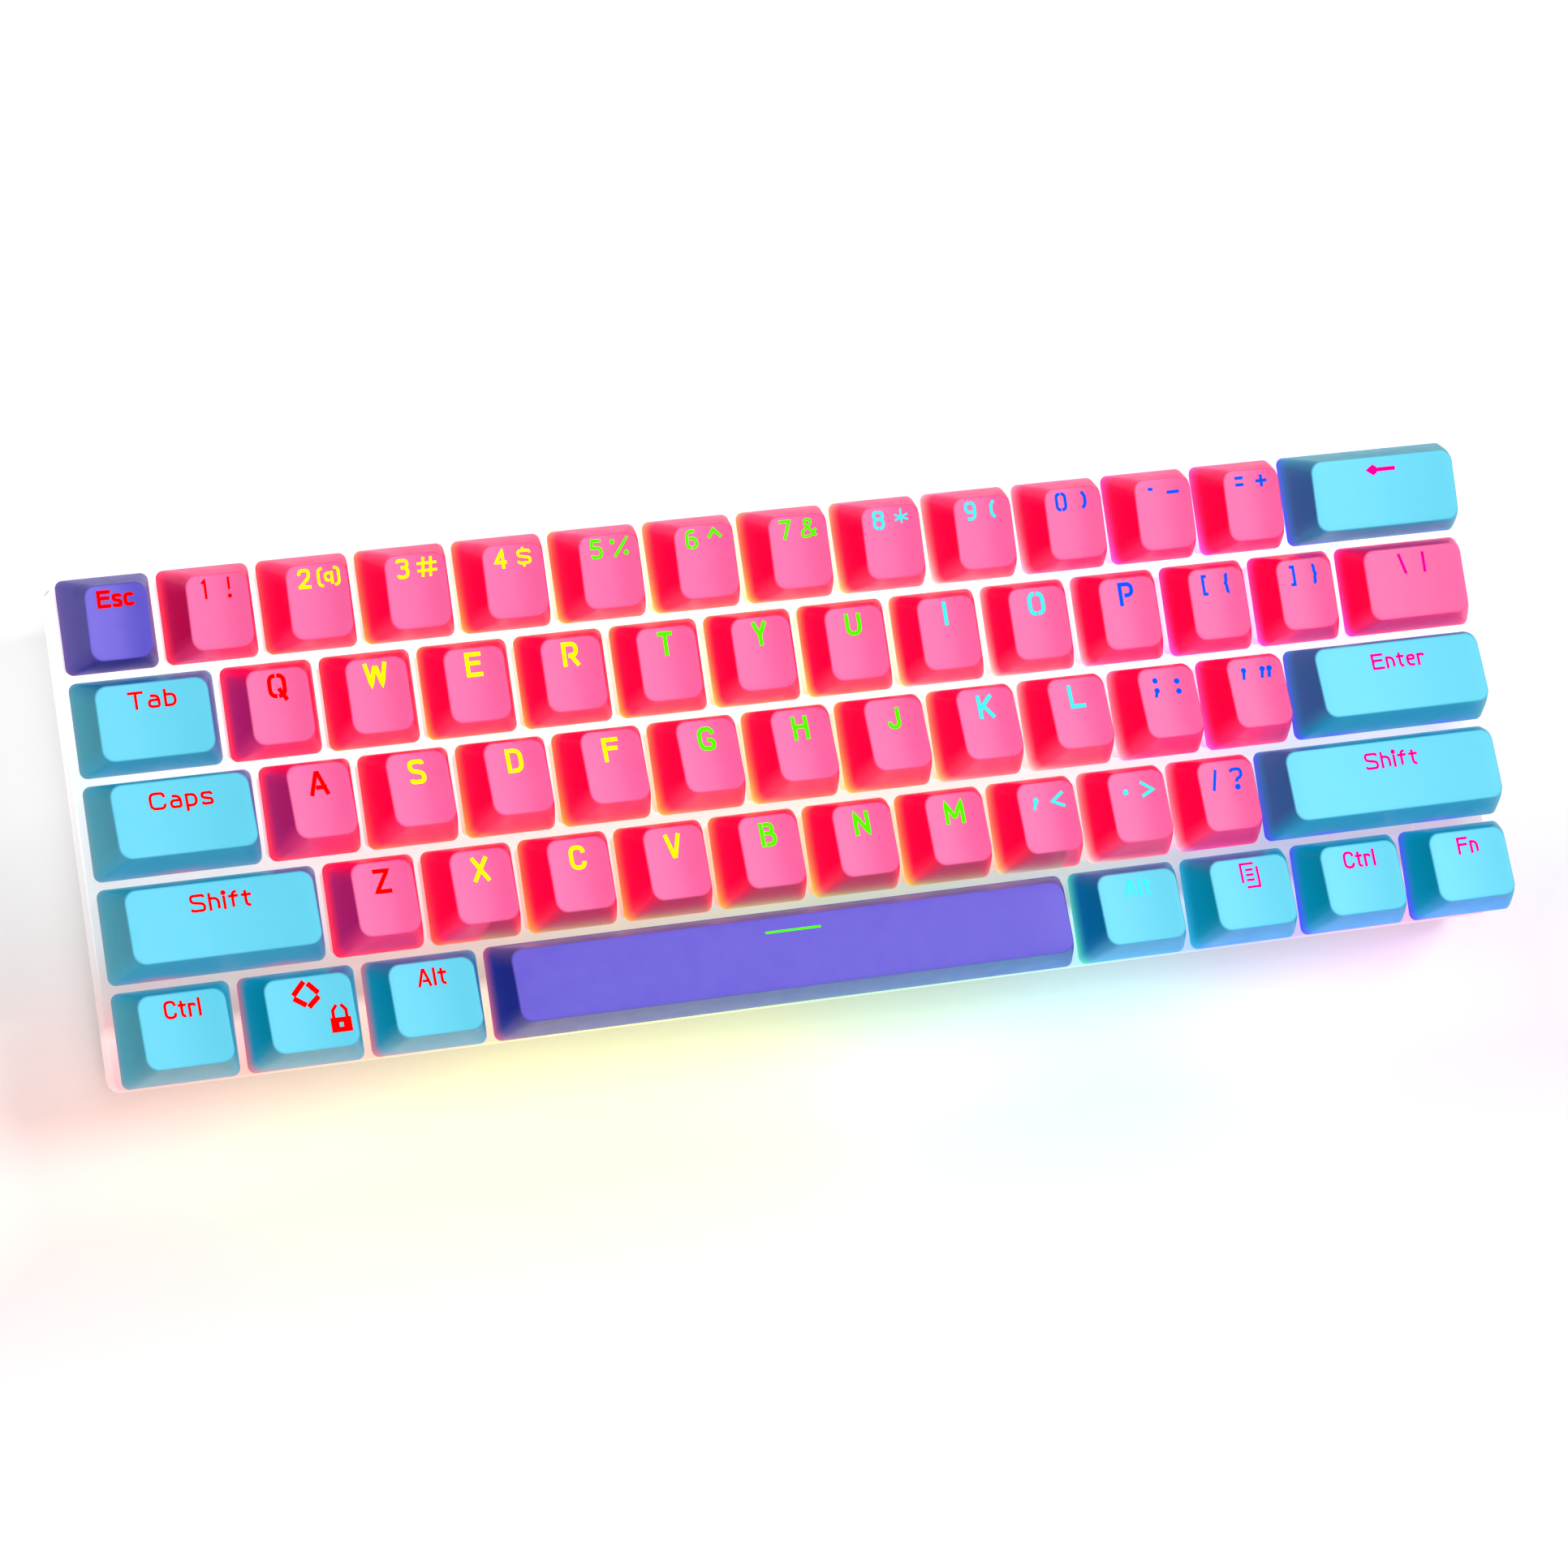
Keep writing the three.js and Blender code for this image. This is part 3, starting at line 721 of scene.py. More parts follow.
def painted_glow_share(key, sides, x, y):
    """How much painted light shows at the skirt's point (x, y): most at the front left corner, some
    along a left edge that faces a neighbour, and in front of a wide key's stabilizers."""
    from_left = x + key.width / 2
    from_front = y + SKIRT_HALF
    from_back = SKIRT_HALF - y
    share = PAINTED_LEAK["everywhere"]
    if sides[0]:
        share += PAINTED_LEAK["front corner"] * math.exp(-(from_left + 0.8 * from_front) / 3.6)
        share += PAINTED_LEAK["back corner"] * math.exp(-(from_left + from_back) / 2.5)
        share += PAINTED_LEFT_LEAK[key.family] * math.exp(-from_left / 0.8)
    if key.family == "cyan" and key.width > LONG_WALL:
        reach = STAB_REACH.get(key.name, 0)
        for centre in {-reach, reach}:
            share += PAINTED_LEAK["stabilizer"] * math.exp(-((x - centre) / 4) ** 2 - from_front)
    return min(1.0, share)


# The space bar's top takes one even share of the painted shade.
SPACE_PAINTED_SHADE = 0.55
PAINTED_SHADE_SPAN = {"single": (0.40, 0.85), "wide": (0.05, 1.0)}  # where a top's painted shade turns


def painted_top_shade(key, x):
    """How far a point of the top is towards the colour of the top's right side, its painted shade.
    """
    if key.name == "space":
        return SPACE_PAINTED_SHADE
    across = (x + key.top_half) / (2 * key.top_half)
    start, end = PAINTED_SHADE_SPAN["single" if key.units == 1 else "wide"]
    step = held((across - start) / (end - start))
    return step * step * (3 - 2 * step)


def painted_glow_colour(key, x):
    """The colour of the painted light along the skirt: the key's own lamp's, shading into its
    neighbours'.
    """
    row = [other for other in KEYS if other.row == key.row]
    beside = row.index(key) + (1 if x > 0 else -1)
    other = row[held(beside, 0, len(row) - 1)]
    through = PAINTED_GLOW_COLOURS[key.family]
    colour = through[key.lamp]
    share = held((abs(x) / key.width - 0.35) * 5, 0.0, 0.8)
    return mixed(colour, through.get(other.lamp, colour), share)


CROSS = {"long": 2.0, "thin": 0.62, "play": 0.06}
SOCKET = {"radius": 2.85, "bottom": 7.0, "edge": 0.15}


def cross_outline(long, thin, z):
    quarter = [(long, -thin), (long, thin), (thin, thin)]
    outline = []
    for _ in range(4):
        outline += quarter
        quarter = [(-y, x) for x, y in quarter]
    return [(x, y, z) for x, y in outline]


def socket_part(ceiling):
    """A round boss with a cross-shaped hole, hanging from the keycap's ceiling."""
    def hole(z):
        return cross_outline(CROSS["long"] + 0.05, CROSS["thin"] + CROSS["play"], z)

    def boss(radius, z):
        angles = [math.atan2(y, x) for x, y, _ in hole(z)]
        return [(radius * math.cos(a), radius * math.sin(a), z) for a in angles]

    radius, bottom = SOCKET["radius"], SOCKET["bottom"]
    return skin([
        hole(ceiling - 0.2), hole(bottom), boss(radius - 0.1, bottom),
        boss(radius, bottom + SOCKET["edge"]), boss(radius, ceiling + 0.3),
    ])


def keycap_part(key):
    """The keycap's outer skin, hollow and stem socket. With the part come, for each of its points,
    how far up the walls it is and which point of the skirt it belongs to."""
    outline = dict(corner_steps=6, x_steps=max(8, round(key.width / 2)), y_steps=8)
    skirt = rounded_outline(key.width / 2, -SKIRT_HALF, SKIRT_HALF, SKIRT_RADIUS, **outline)
    top = rounded_outline(key.top_half, key.top_front, key.top_back, TOP_RADIUS, **outline)
    middle_y = (key.top_front + key.top_back) / 2
    half_y = key.top_back - middle_y
    ceiling = key.ceiling()
    rings, rises = [], []

    def add_ring(ring, rise):
        rings.append(ring)
        rises.append(rise)

    def between(share):
        return [mixed(low, high, share) for low, high in zip(skirt, top)]

    def hollow_ring(z, wall, share):
        shrink_x, shrink_y = 1 - 2 * wall / key.width, 1 - wall / SKIRT_HALF
        add_ring([(x * shrink_x, y * shrink_y, z) for x, y in between(share)], INSIDE)

    def wall_ring(share, inward=0.0, lift=0.0):
        ring = []
        for (sx, sy), (x, y), end in zip(skirt, between(share), top):
            reach = math.hypot(sx, sy)
            out = WALL_BULGE * math.sin(math.pi * share) - inward
            x += out * sx / reach if abs(sx) > key.width / 2 - CORNER_ZONE else 0
            y += out * sy / reach if abs(sy) > SKIRT_HALF - CORNER_ZONE else 0
            ring.append((x, y, SKIRT_Z + (key.top_height(*end) - SKIRT_Z) * share + lift))
        add_ring(ring, share)

    def top_ring(inset, shrink, rise, drop=0.0):
        shrink_x, shrink_y = (1 - inset / key.top_half) * shrink, (1 - inset / half_y) * shrink
        places = [(x * shrink_x, middle_y + (y - middle_y) * shrink_y) for x, y in top]
        add_ring([(x, y, key.top_height(x, y) - drop) for x, y in places], rise)

    # From the hollow's ceiling down to the skirt's edge, up the walls and over the top.
    hollow_ring(ceiling, CAP_WALL + HOLLOW_SLOPE, 1.0)
    hollow_ring(ceiling - HOLLOW_SLOPE, CAP_WALL, 0.9)
    hollow_ring(SKIRT_Z + 0.2, CAP_WALL, 0.0)
    hollow_ring(SKIRT_Z, CAP_WALL, 0.0)
    inner = len(rings)
    wall_ring(0, inward=LIP)
    wall_ring(0, inward=0.3 * LIP, lift=0.3 * LIP)
    for i in range(WALL_STEPS):
        wall_ring(WALL_SHARES[0] + WALL_SHARES[1] * i / WALL_STEPS, lift=0 if i else 0.1)
    for i in range(EDGE_STEPS + 1):
        turn = i / EDGE_STEPS * math.pi / 2
        level = TOP_START + (1 - TOP_START) * i / EDGE_STEPS
        top_ring(EDGE_INSET * (1 - math.cos(turn)), 1.0, level, EDGE_DROP * (1 - math.sin(turn)))
    for i in range(1, TOP_RINGS):
        top_ring(EDGE_INSET, 1 - i / TOP_RINGS, 1.0)

    count = len(skirt)
    verts, faces = skin(rings, capped=False)
    rise = [value for value in rises for _ in skirt]
    sites = [skirt[0]] * (inner * count) + skirt * (len(rings) - inner)
    for start, middle, level in (
        (0, (0, 0, ceiling), INSIDE),
        (len(verts) - count, (0, middle_y, key.top_height(0, middle_y)), 1.0),
    ):
        fan = [[start + i, start + (i + 1) % count, len(verts)] for i in range(count)]
        faces += fan if start else [face[::-1] for face in fan]
        verts.append(middle)
        rise.append(level)

    part = joined([(verts, faces), socket_part(ceiling)])
    rest = len(part[0]) - len(rise)
    return part, rise + [INSIDE] * rest, sites + [skirt[0]] * (rest + 2)


def make_keycap(key):
    part, rise, sites = keycap_part(key)
    sides = side_families(key)
    layers = {
        "rise": rise,
        "wall": [painted_wall_shade_and_bounce(key, sides, *site, level) for site, level in zip(sites, rise)],
        "glow": [painted_glow_colour(key, x) for x, _ in sites],
        "leak": [painted_glow_share(key, sides, *site) for site in sites],
        "shade": [painted_top_shade(key, x) for x, _, _ in part[0]],
    }
    add_piece("keycap_" + key.name, key.centred(part), key.body,
              KEYCAP_MATERIALS[key.family], replaces=key.body, uneven=layers)


for key in KEYS:
    make_keycap(key)


# ---- legends
# Each glyph is a row of strokes on a grid of 9 by 9: an x digit and a y digit for each point, with
# the baseline at y = 2 and capitals up to y = 9. A "~" rounds a stroke's corners, a lone point is
# a dot.
GLYPHS = {
    "A": "02495992 4484", "B": "0209 ~29898626 ~26969222", "C": "~979909029294",
    "D": "0209 ~29999222", "E": "99090292 0686", "F": "990902 0686", "G": "~97990902929555",
    "H": "0209 9299 0696", "I": "4249", "J": "~89821214", "K": "0209 9915 3692", "L": "090292",
    "M": "020944549992", "N": "02099299", "O": "~49090242 ~59999252", "P": "0209 ~09999535",
    "Q": "~49090242 ~59999252 6491", "R": "0209 ~09999535 5592", "S": "~9899090695920203",
    "T": "0989 4942", "U": "~09029299", "V": "09425299", "W": "092248587299", "X": "0992 0299",
    "Y": "094542 8945", "Z": "09990292",
    "1": "284942", "2": "~0709999602 0292", "3": "~0809999636 ~3696920203", "4": "72790494",
    "5": "891906 ~0696920203", "6": "~89090242 ~52929626", "7": "099932",
    "8": "~49090646 ~59999656 ~46060242 ~56969252", "9": "~12929959 ~49090575",
    "0": "~49090242 ~59999252",
    "!": "4945 42", "@": "~29090222 ~79999272 ~67373464 6763", "#": "2239 6279 0494 0797",
    "$": "~9798080695930304 4948 4342", "%": "9922 18 83", "^": "164986",
    "&": "~922729696704026295", "*": "4944 0785 0587", "(": "~69383362", ")": "~39686332",
    "-": "3757", "_": "0595", "=": "1878 1575", "+": "4844 1676", "[": "69393262",
    "]": "39696232", "{": "~79595635 ~36555272", "}": "~29494665 ~66454222", "\\": "2972",
    "|": "4942", ";": "48 44 4422", ":": "47 43", "'": "48 4835", '"': "28 2815 78 7865",
    ",": "46 4623", "<": "881583", ".": "45", ">": "188513", "/": "7922",
    "?": "~080999964544 42",
    "a": "~176762 ~65050262", "b": "0902 ~07676202", "c": "~666707026263", "e": "~056567070262",
    "f": "~592922 0757", "h": "0902 ~076762", "i": "0702 09", "l": "0902", "n": "0702 ~076762",
    "p": "0700 ~07676202", "r": "0702 ~075756", "s": "~6667070564620203", "t": "~292252 0757",
}
BASELINE = 2
CAP_UNITS = 7  # from the baseline to the top of a capital
GRID_UNITS = 9  # the grid's width, which a single letter's width stands for
LETTER_SPACE = 4
# Each row's legends stand this far in front of the top face's back edge.
LEGEND_DROP = [2.7, 3.3, 3.8, 3.8, 3.1]
LEGEND_PROUD = 0.035
LEGEND_STEP = 0.003  # each stroke stands this much prouder than the one before
LEGEND_ROOT = -0.12  # how far the strokes go down into the top
DOT_RADIUS = 0.95  # for a stroke of 1
ROUNDING = 0.3  # of a rounded stroke's corners, for a height of 1
STROKE_PIECE = 0.7  # the longest straight piece of a stroke, which follows the dished top
LETTER = {"height": 4.6, "stroke": 0.78}
LETTER_WIDTH = 3.2
WIDE_LETTERS = {"W": 4.5, "M": 4.0, "Q": 3.6, "O": 3.5, "A": 3.7, "G": 3.4}
PAIR = {"stroke": 0.6, "left": -2.3, "right": 2.4}
DIGIT_SIZE = (2.5, 3.7)
MARK_SIZE = (2.3, 4.1)
# Marks that aren't as wide as the rest, and those with finer strokes.
WIDE_MARKS = {"@": 4.3, "#": 3.7, "%": 3.7, "&": 3.2, "$": 2.7, "<": 3.3, ">": 3.3, "?": 2.6,
              "^": 3.3, "+": 3.1, "*": 2.9, "'": 3.0, '"': 3.2, ",": 2.9, "(": 2.6, ")": 2.6}
FINE_MARKS = {"1": 0.46, "!": 0.42, "*": 0.38, "@": 0.5, "#": 0.5, "&": 0.5, "$": 0.5, "%": 0.5}
PAIRS = dict(zip(
    "1 2 3 4 5 6 7 8 9 0 minus equals left_bracket right_bracket backslash semicolon quote comma"
    " period slash".split(),
    "1! 2@ 3# 4$ 5% 6^ 7& 8* 9( 0) -_ =+ [{ ]} \\| ;: '\" ,< .> /?".split(),
))
# Words with their width and height in millimetres.
WORDS = {
    "esc": ("Esc", 7.0, 3.3), "tab": ("Tab", 9.1, 3.3), "caps_lock": ("Caps", 12.0, 3.3),
    "enter": ("Enter", 11.6, 3.2), "left_shift": ("Shift", 11.6, 3.3),
    "right_shift": ("Shift", 11.5, 3.3), "left_ctrl": ("Ctrl", 6.9, 3.4),
    "right_ctrl": ("Ctrl", 6.8, 3.4), "left_alt": ("Alt", 5.7, 3.4),
    "right_alt": ("Alt", 5.7, 3.4), "fn": ("Fn", 4.5, 3.4),
}
WORD_STROKE = {"esc": 0.72, "other": 0.50}
# Symbols in millimetres: each group's place from the middle of the legend, its stroke and its lines.
SYMBOLS = {
    "backspace": [  # an arrow to the left
        (0, 0, 0.80, [[(-2.3, 0), (2.9, 0)], [(-1.6, 0.8), (-2.9, 0), (-1.6, -0.8)],
                      [(-1.6, -0.75), (-1.6, 0.75)]]),
    ],
    "system": [  # a diamond, and a padlock near the front right corner
        (-0.5, -0.3, 1.0, [[(-2.4, 0), (0, 2.4)], [(0.6, 2.0), (2.4, 0)],
                           [(2.4, -0.6), (0.2, -2.4)], [(-0.2, -2.0), (-2.4, -0.5)]]),
        (5.2, -5.2, 0.95, [[(-1.95, -0.5), (1.95, -0.5)], [(-1.95, -1.4), (-0.4, -1.4)],
                           [(0.4, -1.4), (1.95, -1.4)], [(-1.95, -2.3), (1.95, -2.3)]]),
        (5.2, -5.2, 0.6, [[(-1.25, -0.2), (-1.25, 1.3), (-0.4, 2.3)],
                          [(1.25, -0.2), (1.25, 1.3), (0.4, 2.3)]]),
    ],
    "menu": [  # a sheet with three lines on it
        (0, -0.4, 0.46, [[(1.2, 2.2), (-1.6, 2.2), (-1.6, -1.5)],
                         [(-0.9, -2.4), (1.8, -2.4), (1.8, 1.5)],
                         *([(-0.7, y), (0.9, y)] for y in (1, 0, -1))]),
    ],
    "space": [(0, 0.2, 0.42, [[(-5.6, 0), (5.6, 0)]])],  # a short bar
}


def glyph_strokes(character):
    """A glyph's strokes as lists of (x, y) grid points, each with whether its corners are round."""
    strokes = []
    for text in GLYPHS[character].split():
        is_round = text.startswith("~")
        digits = [int(d) for d in text.lstrip("~")]
        strokes.append((list(zip(digits[::2], digits[1::2])), is_round))
    return strokes


def glyph_width(character):
    return max(x for points, _ in glyph_strokes(character) for x, _ in points)


def rounded_path(points, radius):
    """A polyline with its corners replaced by arcs, as quadratic curves."""
    path = [Vector(points[0])]
    for i in range(1, len(points) - 1):
        corner = Vector(points[i])
        before, after = Vector(points[i - 1]) - corner, Vector(points[i + 1]) - corner
        reach = min(radius, before.length / (1 if i == 1 else 2),
                    after.length / (1 if i == len(points) - 2 else 2))
        start = corner + before.normalized() * reach
        end = corner + after.normalized() * reach
        path += bend(start, corner, end)
    path.append(Vector(points[-1]))
    cleaned = [path[0]]
    for point in path[1:]:
        if (point - cleaned[-1]).length > 1e-4:
            cleaned.append(point)
    return cleaned


def subdivided(path, step):
    """The same polyline with no stretch longer than step."""
    result = [path[0]]
    for a, b in zip(path, path[1:]):
        pieces = max(1, math.ceil((b - a).length / step))
        result += [a + (b - a) * (i / pieces) for i in range(1, pieces + 1)]
    return result


def ribbon(path, stroke, height, lift):
    """A thin bar of rectangular section along a path on the surface z = height(x, y)."""
    rings = []
    for i, point in enumerate(path):
        before = (point - path[i - 1]).normalized() if i else None
        after = (path[i + 1] - point).normalized() if i + 1 < len(path) else None
        heading = ((before or after) + (after or before)).normalized()
        side = Vector((-heading.y, heading.x))
        mitre = 1 / max(0.6, side.dot(Vector((-(after or before).y, (after or before).x))))
        offset = side * (stroke / 2 * mitre)
        right, left = point - offset, point + offset
        corners = ((right, LEGEND_ROOT), (right, lift), (left, lift), (left, LEGEND_ROOT))
        rings.append([(spot.x, spot.y, height(*spot) + proud) for spot, proud in corners])
    return skin(rings)


def dot(centre, radius, height, lift):
    spots = [(centre[0] + x, centre[1] + y) for x, y, _ in round_ring(radius, 0, 16)]
    return skin([[(x, y, height(x, y) + z) for x, y in spots] for z in (LEGEND_ROOT, lift)])


def stroke_part(path, stroke, surface, number):
    """One of a legend's strokes, a little prouder than the one before."""
    lift = LEGEND_PROUD + LEGEND_STEP * number
    return ribbon(subdivided(path, STROKE_PIECE), stroke, surface, lift)


def text_parts(text, centre_x, centre_y, width, height, stroke, surface):
    """The strokes of a word, centred, on the surface z = surface(x, y)."""
    widths = [glyph_width(c) for c in text]
    total = sum(widths) + LETTER_SPACE * (len(text) - 1)
    unit_x = (width - stroke) / (total if len(text) > 1 else GRID_UNITS)
    unit_y = (height - stroke) / CAP_UNITS
    cursor = centre_x - total * unit_x / 2
    base = centre_y - CAP_UNITS / 2 * unit_y
    if len(text) == 1:
        lowest = min(x for points, _ in glyph_strokes(text) for x, _ in points)
        cursor = centre_x - (widths[0] + lowest) / 2 * unit_x
    parts = []
    for character, advance in zip(text, widths):
        for points, is_round in glyph_strokes(character):
            placed = [(cursor + x * unit_x, base + (y - BASELINE) * unit_y) for x, y in points]
            if len(placed) == 1:
                lift = LEGEND_PROUD + LEGEND_STEP * len(parts)
                parts.append(dot(placed[0], stroke * DOT_RADIUS, surface, lift))
                continue
            if is_round:
                path = rounded_path(placed, ROUNDING * height)
            else:
                path = [Vector(p) for p in placed]
                path[0] += (path[0] - path[1]).normalized() * stroke / 2
                path[-1] += (path[-1] - path[-2]).normalized() * stroke / 2
            parts.append(stroke_part(path, stroke, surface, len(parts)))
        cursor += (advance + LETTER_SPACE) * unit_x
    return parts


def symbol_parts(key, centre_y):
    """The strokes of a key's symbol, about the middle of its legend."""
    parts = []
    for place_x, place_y, stroke, lines in SYMBOLS[key.name]:
        for number, line in enumerate(lines):
            path = [Vector((place_x + x, centre_y + place_y + y)) for x, y in line]
            parts.append(stroke_part(path, stroke, key.top_height, number))
    return parts


def legend_parts(key):
    surface = key.top_height
    y = key.top_back - LEGEND_DROP[key.row]
    if key.name in SYMBOLS:
        return symbol_parts(key, y)
    if key.name in PAIRS:
        parts = []
        width, height = DIGIT_SIZE if key.row == 0 else MARK_SIZE
        for character, x in zip(PAIRS[key.name], (PAIR["left"], PAIR["right"])):
            stroke = FINE_MARKS.get(character, PAIR["stroke"])
            parts += text_parts(character, x, y, WIDE_MARKS.get(character, width), height, stroke,
                                surface)
        return parts
    if key.name in WORDS:
        text, width, height = WORDS[key.name]
        stroke = WORD_STROKE.get(key.name, WORD_STROKE["other"])
    else:
        text, height, stroke = key.name.upper(), LETTER["height"], LETTER["stroke"]
        width = WIDE_LETTERS.get(text, LETTER_WIDTH)
    return text_parts(text, 0, y, width, height, stroke, surface)


for key in KEYS:
    add_piece("legend_" + key.name, key.centred(joined(legend_parts(key))), key.body,
              LEGEND_MATERIALS[key.lamp], smooth=False)


# ---- switches
POCKET_FLOOR = -2.9
SLIDER_BOTTOM = 1.5
SLIDER_TOP = 6.75
SPRING = {"radius": 2.0, "wire": 0.28, "turns": 7, "steps": 14, "low": -2.55, "high": 5.1}


def slider_part():
    """A switch's slider: a hollow block with the cross that the keycap's socket takes."""
    block = skin([oblong(*ring) for ring in (
        (2.5, 2.3, 2.2, SLIDER_TOP - 1.0), (2.5, 2.3, 2.2, SLIDER_BOTTOM + 0.1),
        (2.7, 2.5, 1.8, SLIDER_BOTTOM), (3.3, 2.6, 0.5, SLIDER_BOTTOM),
        (3.4, 2.7, 0.5, SLIDER_BOTTOM + 0.15), (3.4, 2.7, 0.5, SLIDER_TOP - 0.3),
        (3.15, 2.45, 0.5, SLIDER_TOP),
    )])
    cross = skin([cross_outline(CROSS["long"] - chamfer, CROSS["thin"] - chamfer, SLIDER_TOP + z)
                  for z, chamfer in ((-0.05, 0), (3.2, 0), (3.5, 0.2))])
    return joined([block, cross])


def spring_part():
    count = SPRING["turns"] * SPRING["steps"]
    path = []
    for i in range(count + 1):
        x, y, _ = round_ring(SPRING["radius"], 0, SPRING["steps"])[i % SPRING["steps"]]
        path.append((x, y, SPRING["low"] + (SPRING["high"] - SPRING["low"]) * i / count))
    return tube(path, SPRING["wire"], 6)


def stabilizer_slider_part(side, top):
    """A long key's end slider, with the slot that takes the wire's arm."""
    foot = rounded_block(2.3, 2.6, -1.6, -1.05, 0.5, 0.15)
    spine = moved(rounded_block(2.3, 0.6, -1.2, 2.6, 0.3, 0.1), 0, -side * 2.0)
    shaft = rounded_block(2.3, 2.6, 2.4, top, 0.5, 0.15)
    return joined([foot, spine, shaft])


def bar_side(key):
    """The wire's bar runs in front of its key, but behind the space bar."""
    return 1 if key.name == "space" else -1


SLIDER_PART = slider_part()
SPRING_PART = spring_part()


def both_sides(part, key):
    """A long key's stabilizer part, at both ends of the key."""
    return [moved(part, reach, 0) for reach in (-STAB_REACH[key.name], STAB_REACH[key.name])]


def make_switch_movers(key):
    parts = [SLIDER_PART]
    if key.long:
        parts += both_sides(stabilizer_slider_part(bar_side(key), key.ceiling() + 0.3), key)
    add_piece("stem_" + key.name, key.centred(joined(parts)), key.body,
              STEM_MATERIAL, smooth=False)
    spring = add_piece("spring_" + key.name, key.centred(SPRING_PART), "base",
                       SPRING_MATERIAL)
    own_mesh(spring)


for key in KEYS:
    make_switch_movers(key)


def housing_part():
    """A switch's two-part housing, open at the top where the slider moves."""
    walls = [
        (6.3, 0.6, -4.75), (6.6, 0.7, -4.5), (6.7, 0.7, -2.2), (6.7, 0.7, 0.05), (7.65, 0.8, 0.05),
        (7.8, 0.9, 0.2), (7.8, 0.9, 0.85), (7.65, 0.9, 1.0), (7.2, 0.9, 1.05), (7.0, 1.0, 1.3),
        (5.55, 1.0, 5.7), (5.1, 1.0, 6.2), (4.85, 0.9, 6.5), (4.7, 0.8, 6.55),
    ]
    pocket = [(4.0, 3.5, 0.5, 6.55), (3.8, 3.3, 0.5, 6.35), (3.8, 3.3, 0.5, POCKET_FLOOR)]
    return skin([oblong(half, half, radius, z) for half, radius, z in walls]
                + [oblong(*ring) for ring in pocket])


def lamp_window_part():
    """The light's lens, let into the back slope of a housing."""
    return moved(rounded_block(2.3, 0.5, 1.4, 5.1, 0.3, 0.15), 0, 6.15)


def stabilizer_housing_part(side):
    """The guide of one stabilizer slider, with a hook for the wire's bar."""
    low, high = -4.4, 5.6
    return joined([moved(rounded_block(*size), x, side * y) for x, y, size in (
        (-3.0, 0, (0.4, 5.4, low, high, 0.3, 0.15)),
        (3.0, 0, (0.4, 5.4, low, high, 0.3, 0.15)),
        (0, -4.18, (2.62, 1.22, low, high, 0.2, 0.15)),
        (-1.86, 4.18, (0.76, 1.22, low, high, 0.2, 0.15)),
        (1.86, 4.18, (0.76, 1.22, low, high, 0.2, 0.15)),
        (0, 7.7, (3.4, 2.9, low, -4.0, 0.2, 0.1)),
        (0, 10.1, (3.4, 0.5, -4.1, -3.0, 0.2, 0.1)),
    )])


def make_housings():
    single, window = housing_part(), lamp_window_part()

    def at_keys(part, keys):
        return joined([key.centred(part) for key in keys])

    def add_housing(name, part):
        add_piece(name, part, "base", HOUSING_MATERIAL, smooth=False,
                  replaces="switch_housings")

    for row in range(len(ROWS)):
        keys = [key for key in KEYS if key.row == row]
        add_housing(f"switch_housings_row_{row + 1}", at_keys(single, keys))
    for colour, material in LAMP_MATERIALS.items():
        keys = [key for key in KEYS if key.lamp == colour]
        add_piece("lamp_windows_" + colour, at_keys(window, keys), "base", material)
    for key in LONG_KEYS:
        guides = joined(both_sides(stabilizer_housing_part(bar_side(key)), key))
        add_housing("stabilizer_guides_" + key.name, key.centred(guides))


# A stabilizer's wire: its bar's place from the key's centre, and its arms. The arm's tip is "lever"
# from the bar where the slider holds it.
WIRE = {"y": 8.5, "z": -3.0, "radius": 0.8, "bend": 1.6, "arm": 9.4, "lever": 9.0}


def make_wire(key):
    """A stabilizer's wire: a bar with a bent arm to each slider."""
    side, reach = bar_side(key), STAB_REACH[key.name]
    rise = math.asin(TRAVEL / WIRE["lever"])
    forward = Vector((0, -side * math.cos(rise), math.sin(rise)))
    origin = Vector((0, side * WIRE["y"], WIRE["z"]))
    path = []
    for sign in (-1, 1):
        corner = origin + Vector((sign * reach, 0, 0))
        tip = corner + forward * WIRE["arm"]
        start = corner + forward * WIRE["bend"]
        end = corner - Vector((sign * WIRE["bend"], 0, 0))
        half = [tip] + bend(start, corner, end)
        path += half if sign < 0 else half[::-1]
    body = "stabilizer_wire_" + key.name
    add_piece("wire_" + key.name, key.centred(tube(path, WIRE["radius"], 12)), body,
              WIRE_MATERIAL, replaces=body)


make_housings()
for key in LONG_KEYS:
    make_wire(key)


# ---- plate, base, board, feet
def softened(name, node, material, width):
    """A CAD node's own shape with its edges rounded."""
    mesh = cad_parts[node].data.copy()
    work = bmesh.new()
    work.from_mesh(mesh)
    bmesh.ops.remove_doubles(work, verts=work.verts, dist=1e-6)
    bmesh.ops.dissolve_limit(
        work, angle_limit=math.radians(1), verts=work.verts, edges=work.edges)
    sharp = [e for e in work.edges if len(e.link_faces) == 2
             and e.calc_face_angle() > math.radians(25)]
    bmesh.ops.bevel(work, geom=sharp, offset=width * MM, segments=2, profile=0.5,
                    affect="EDGES", clamp_overlap=True)
    work.to_mesh(mesh)
    work.free()
    mesh.shade_smooth()
    add_mesh(name, mesh, "base", material, replaces=node)


softened("plate", "switch_plate", PLATE_MATERIAL, 0.2)
softened("base_shell", "base_tray", BASE_MATERIAL, 0.35)
for end in ("front", "rear"):
    softened("foot_" + end, "foot_strip_" + end, FOOT_MATERIAL, 0.3)
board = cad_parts["circuit_board"].data
board.materials.clear()
board.materials.append(BOARD_MATERIAL)


